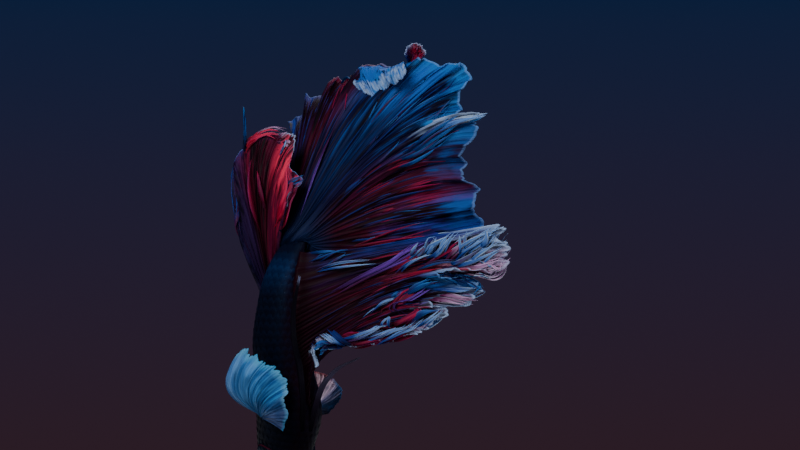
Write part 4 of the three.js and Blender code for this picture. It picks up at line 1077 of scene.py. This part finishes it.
for name, surface, facing, rows, slot in (
        ("tail_streaks", tail_sheet, 1, TAIL_STREAKS, "tail_fin"),
        ("anal_streaks", anal_sheet, 1, ANAL_STREAKS, "anal_fin"),
        ("tail_edges", TAIL_FAN, 1, TAIL_STRANDS, "tail_fin"),
        ("anal_edges", ANAL_FAN, 1, ANAL_STRANDS, "anal_fin"),
        ("dorsal_edges", DORSAL_FAN, -1, DORSAL_STRANDS, "dorsal_fin")):
    strands(name, surface, facing, rows, slot, 81).data.materials.append(strand_paint)

# ------------------------------------------------------------------ pectoral fins
# Broad pale-blue fans like ears behind the gill covers, each curling forwards from its root on
# the flank, with painted shade on its lower rays. The right one is rosy at its upper rays and
# near-black blue below, where the shade is painted.
PECTORAL_STATION, PECTORAL_TURN = 19.6, 0.12
PECTORALS = {
    # side, the base's rise in mm and turn in radians, folds, and rays as for the tail fin, with
    # their roots as shares of the base
    "pectoral_fin_left": (1, 1.0, 0.35, 5, [
        [0, -0.5, -3.9, 18.3, -9.5, -2.2, 17.2, -11, 0.1],
        [0.1, -0.4, -3.9, 19.5, -9.8, -1.4, 19.8, -11.3, 0.2],
        [0.22, -0.28, -4.4, 20.9, -10, -2, 22.6, -11.5, 0.3],
        [0.32, -0.18, -5, 21.9, -10, -1.2, 24.2, -11.5, 0.3],
        [0.44, -0.06, -6.1, 23, -10, -2.5, 26.5, -11.3, 0.3],
        [0.56, 0.06, -7.3, 23.6, -9.6, -3.8, 27.7, -11, 0.3],
        [0.68, 0.18, -8.4, 24.1, -9.2, -5.9, 28.7, -10.5, 0.3],
        [0.78, 0.28, -9.6, 24.2, -8.7, -7.4, 29.7, -9.9, 0.25],
        [0.87, 0.37, -10.6, 24.2, -8.1, -8.4, 30.5, -9.2, 0.15],
        [0.94, 0.44, -11.1, 24, -7.5, -9.4, 29.8, -8.5, 0.1],
        [1, 0.5, -11.3, 23.4, -7, -10.3, 28.3, -7.9, 0.05],
    ]),
    "pectoral_fin_right": (-1, 1.8, 0.15, 3, [
        [0, -0.5, 3.6, 18.9, 1.1, 4.6, 19, 1.2, 0.03],
        [0.2, -0.3, 4.4, 20, 1.5, 6.2, 20.8, 1.8, 0.08],
        [0.4, -0.1, 4.7, 21.1, 1.8, 6.9, 22.7, 2.2, 0.1],
        [0.6, 0.1, 4.1, 22.3, 2, 5.7, 24.4, 2.6, 0.1],
        [0.8, 0.3, 3.2, 23.1, 2.1, 4, 25.5, 2.8, 0.1],
        [1, 0.5, 2.2, 23.6, 2.2, 2, 26, 2.8, 0.05],
    ]),
}
PECTORAL_HUES = {
    # (between the rays, on the rays, margin), each over the rays, the lower rays near u of 0 darkened as
    # painted shade
    "pectoral_fin_left": (
        ((0.0, (0.014, 0.026, 0.085)), (0.13, (0.022, 0.036, 0.12)), (0.22, (0.006, 0.07, 0.26)),
         (0.5, (0.008, 0.11, 0.36)), (0.8, (0.03, 0.17, 0.48)), (1.0, (0.04, 0.13, 0.36))),
        ((0.0, (0.05, 0.075, 0.18)), (0.15, (0.06, 0.10, 0.24)), (0.3, (0.03, 0.22, 0.52)),
         (0.8, (0.12, 0.34, 0.70)), (1.0, (0.16, 0.32, 0.62))),
        ((0.0, (0.02, 0.12, 0.26)), (0.25, (0.16, 0.40, 0.62)), (0.6, (0.05, 0.34, 0.60)),
         (1.0, (0.14, 0.42, 0.66)))),
    # the right fin's near-black lower rays, up to u of about 0.35, are painted shade
    "pectoral_fin_right": (
        ((0.0, (0.008, 0.006, 0.015)), (0.35, (0.010, 0.012, 0.035)), (0.5, (0.10, 0.10, 0.24)),
         (0.60, (0.88, 0.62, 0.82)), (1.0, (0.95, 0.48, 0.58))),
        ((0.0, (0.012, 0.010, 0.025)), (0.35, (0.012, 0.035, 0.10)), (0.52, (0.55, 0.50, 0.78)),
         (0.62, (1.0, 0.82, 0.95)), (1.0, (1.0, 0.70, 0.78))),
        ((0.0, (0.012, 0.012, 0.035)), (0.30, (0.010, 0.03, 0.09)), (0.45, (0.02, 0.16, 0.46)),
         (0.60, (0.04, 0.18, 0.42)), (0.75, (0.50, 0.06, 0.10)), (1.0, (0.45, 0.02, 0.04)))),
}
for name, (side, rise_of_base, spread, folds, rays) in PECTORALS.items():
    between, on_rays, margin = PECTORAL_HUES[name]
    pectoral_paint, tree, shader = new_material(name + "_paint", 0.45, Specular_IOR_Level=0.10)
    place, u, v = map_parts(tree, "rays")
    clouds = grain(place, stretch=(6, 2, 1))
    ribs = grain(place, stretch=(34, 1.5, 1), shift=(side, 0, 0))
    shifted = plus(u, clouds, 0.12, 0.5)
    colour = mix(rise(ribs, 0.42, 0.62), ramp(shifted, *between), ramp(shifted, *on_rays))
    colour = mix(ramp(clouds, (0.36, 0.55), (0.55, 0.0)), colour, (0.006, 0.05, 0.16))
    colour = mix(rise(v, 0.88, 0.98, 0.8), colour, ramp(shifted, *margin))
    paint(shader, colour, ribs)

    def base_line(share):
        """Roots across the flank, sunk 0.3 mm into it."""
        turn = side * (np.pi / 2 + PECTORAL_TURN + spread * share)
        return skin_point(PECTORAL_STATION + rise_of_base * share, turn, -0.3)

    sheet = folded(base_line, rays, folds=folds, growth=1.3, lean=0.4,
                   ruffles=((13, 0.13, 1.5), (37, 0.05, 2.2)), seed=43)
    pectoral = fin_piece(name + "_sheet", sheet, across=300, length=48, thick=(0.35, 0.10, 0.1),
                         slot="pectoral_fin", nodes=(name,), rays=12,
                         fray=(26, ((0.85, 0.05), (1.0, 0.0)), 4 + side))
    pectoral.data.materials.append(pectoral_paint)

# ------------------------------------------------------------------ pelvic fins
# Two narrow ribbons from under the throat, nearly black: the left one with a pale tip, the
# right one turning to a thin grey veil.
PELVIC_STATION = 18.2
PELVICS = {
    # turn from the belly line, width in mm, hues along it, and its middle line
    "pelvic_fin_left": (0.16, 0.7, ((0.0, NIGHT), (0.955, NIGHT), (0.975, (0.16, 0.18, 0.32))), [
        [0.9, -10.2, 22.5], [0.5, -10.3, 27], [-0.5, -9.9, 32], [-0.6, -9.4, 36.5], [0.3, -8.2, 42]]),
    "pelvic_fin_right": (-0.16, 0.75, ((0.0, NIGHT), (0.35, (0.010, 0.006, 0.016)),
                                      (0.6, (0.060, 0.050, 0.10)), (1.0, (0.10, 0.085, 0.15))), [
        [3.0, -8.6, 21.6], [4.2, -8.4, 24.6], [6.2, -8.2, 26.9], [10.0, -8.8, 28.9]]),
}


def ribbon(u, v, start, width, line):
    """A band along a smooth curve from the root through the line's points, widest a third of the
    way along, with a slow wave."""
    stops = np.concatenate([[start], np.array(line) + (0, 0, SNOUT_Z)])
    run = np.concatenate([[0], np.cumsum(np.linalg.norm(np.diff(stops, axis=0), axis=1))])
    middle_line = along(np.concatenate([run[:, None] / run[-1], stops], axis=1), v)
    sideways = body_frame(PELVIC_STATION)[3]
    half = (u - 0.5) * width * (0.35 + np.sin(np.pi * (0.1 + 0.85 * v)))
    middle_line[..., 1] += 0.15 * np.sin(6 * np.pi * v) * v
    return middle_line + sideways * half[..., None], 0 * half


for name, (turn, width, hues, line) in PELVICS.items():
    ribbon_paint, tree, shader = new_material(name + "_paint", 0.5, Specular_IOR_Level=0.05)
    place, _, v = map_parts(tree, "rays")
    lines = grain(place, stretch=(9, 6, 1))
    down = plus(v, lines, 0.12, 0.5)
    paint(shader, mix(rise(lines, 0.4, 0.6, 0.5), ramp(down, *hues), (0.006, 0.003, 0.010)))
    start = skin_point(PELVIC_STATION, turn, -0.2)
    band = fin_piece(name + "_sheet", lambda u, v: ribbon(u, v, start, width, line), across=16, length=120,
                     thick=(0.30, 0.10, 0), slot="pelvic_fin", nodes=(name,), rays=3, fray=(4, even(0.02), 2))
    band.data.materials.append(ribbon_paint)

# ------------------------------------------------------------------ display stand
# A turned disc of dark stained wood with a groove round its edge, and two patinated brass rods
# set into it. Each ends in a flared saddle, hollowed to the head, under nape and throat.
BASE_RADIUS, BASE_HEIGHT = 30.0, 5.0
BASE_CHAMFER, BASE_SHOULDER = 0.6, 1.6
GROOVE_LOW, GROOVE_HIGH, GROOVE_DEPTH = 2.5, 3.1, 0.3
ROD_RADIUS, FOOT_RADIUS, SADDLE_RADIUS, SADDLE_HEIGHT = 0.8, 0.8 * 2.2, 1.5, 2.0
HEAD_GAP = 0.12              # between saddle and skin
RODS = {"stand_rod_nape": (9.2, np.pi), "stand_rod_throat": (9.8, 0.0)}


def lathe(corners, spacing, softness, around):
    """Rings of a turned solid on Z. The profile runs through corners of radius and height, each
    corner rounded by averaging the line over a length of softness."""
    corners = np.array(corners)
    run = np.concatenate([[0], np.cumsum(np.linalg.norm(np.diff(corners, axis=0), axis=1))])
    place = np.linspace(0, run[-1], int(run[-1] / spacing))
    shifts = np.linspace(-0.5, 0.5, 9)[:, None] * softness
    radius, height = (np.interp(place + shifts, run, corners[:, k]).mean(0)[:, None] for k in (0, 1))
    radius = np.maximum(radius * np.clip(place * 20, 0, 1)[:, None], 1e-3)
    turns = -np.linspace(0, 2 * np.pi, around, endpoint=False)
    return np.stack([radius * np.cos(turns), radius * np.sin(turns), height + 0 * turns], -1)


def turned_piece(name, rings, slot):
    """A piece in place of a node of its own, from a lathe's rings and a point at each end."""
    faces = ring_faces(*rings.shape[:2])
    points = np.concatenate([rings.reshape(-1, 3), [rings[0].mean(0), rings[-1].mean(0)]])
    return new_piece(name + "_turned", points, faces, slot, (name,))


def clear_of_head(points, distance):
    """Points that lie within a distance of the head's skin, moved level out to that distance."""
    middle_point, _, to_belly, to_left, back, belly, width = body_frame(points[..., 2] - SNOUT_Z)
    off = points - middle_point
    down, left = (off * to_belly).sum(-1), (off * to_left).sum(-1)
    inside = np.hypot(down / (np.where(down > 0, belly, back) + distance), left / (width + distance))
    push = np.where(points[..., 2] > SNOUT_Z, 1 / np.clip(inside, 0.05, 1.0), 1.0)
    return middle_point + off * push[..., None]


base = turned_piece("stand_base", lathe([
    [0, 0], [BASE_RADIUS - BASE_CHAMFER, 0], [BASE_RADIUS, BASE_CHAMFER], [BASE_RADIUS, GROOVE_LOW],
    [BASE_RADIUS - GROOVE_DEPTH, GROOVE_LOW + 0.2], [BASE_RADIUS - GROOVE_DEPTH, GROOVE_HIGH - 0.2],
    [BASE_RADIUS, GROOVE_HIGH], [BASE_RADIUS, BASE_HEIGHT - BASE_SHOULDER],
    [BASE_RADIUS - 0.5, BASE_HEIGHT - 0.5], [BASE_RADIUS - BASE_SHOULDER, BASE_HEIGHT], [0, BASE_HEIGHT],
], spacing=0.16, softness=0.3, around=200), "base")
wood, tree, shader = new_material("stained_wood", 0.42, Coat_Weight=0.4, Coat_Roughness=0.22)
place = node(tree, "ShaderNodeTexCoord").outputs["Object"]
figure = grain(place, 1.0, 4, 0.55, (22, 190, 190))
pores = grain(place, 1.0, 2, 0.6, (260, 3600, 3600))
colour = ramp(figure, (0.36, (0.020, 0.009, 0.005)), (0.50, (0.052, 0.023, 0.012)),
              (0.66, (0.085, 0.040, 0.020)))
paint(shader, mix(rise(pores, 0.56, 0.70, 0.7), colour, (0.012, 0.006, 0.004)), pores, 0.25)
tree.links.new(ramp(figure, (0.3, 0.50), (0.7, 0.36)), shader.inputs["Roughness"])
base.data.materials.append(wood)

brass, tree, shader = new_material("patinated_brass", 0.32, Metallic=1.0)
place = node(tree, "ShaderNodeTexCoord").outputs["Object"]
cloud = grain(place, 380, 4, 0.6)
height = node(tree, "ShaderNodeSeparateXYZ", {0: place}).outputs[2]
colour = mix(rise(cloud, 0.38, 0.66, 0.85), (0.46, 0.29, 0.10), (0.13, 0.085, 0.045))
foot = ramp(times(height, 100), (0.50, 1.0), (0.62, 0.0))
paint(shader, mix(times(foot, 0.7), colour, (0.06, 0.045, 0.03)))
tree.links.new(ramp(cloud, (0.35, 0.26), (0.70, 0.50)), shader.inputs["Roughness"])
for name, (station, angle) in RODS.items():
    touch = skin_point(station, angle, ROD_RADIUS)
    top = touch[2] - BASE_HEIGHT
    rings = lathe([
        [0, 0.02], [FOOT_RADIUS, 0.02], [FOOT_RADIUS, 0.9], [ROD_RADIUS, 1.5],
        [ROD_RADIUS, top - SADDLE_HEIGHT], [SADDLE_RADIUS, top - SADDLE_HEIGHT / 2], [SADDLE_RADIUS, top],
        [0, top],
    ], spacing=0.06, softness=0.25, around=48)
    rings = rings + (touch[0], touch[1], BASE_HEIGHT)
    rod = turned_piece(name, clear_of_head(rings, HEAD_GAP), "brass")
    rod.data.materials.append(brass)
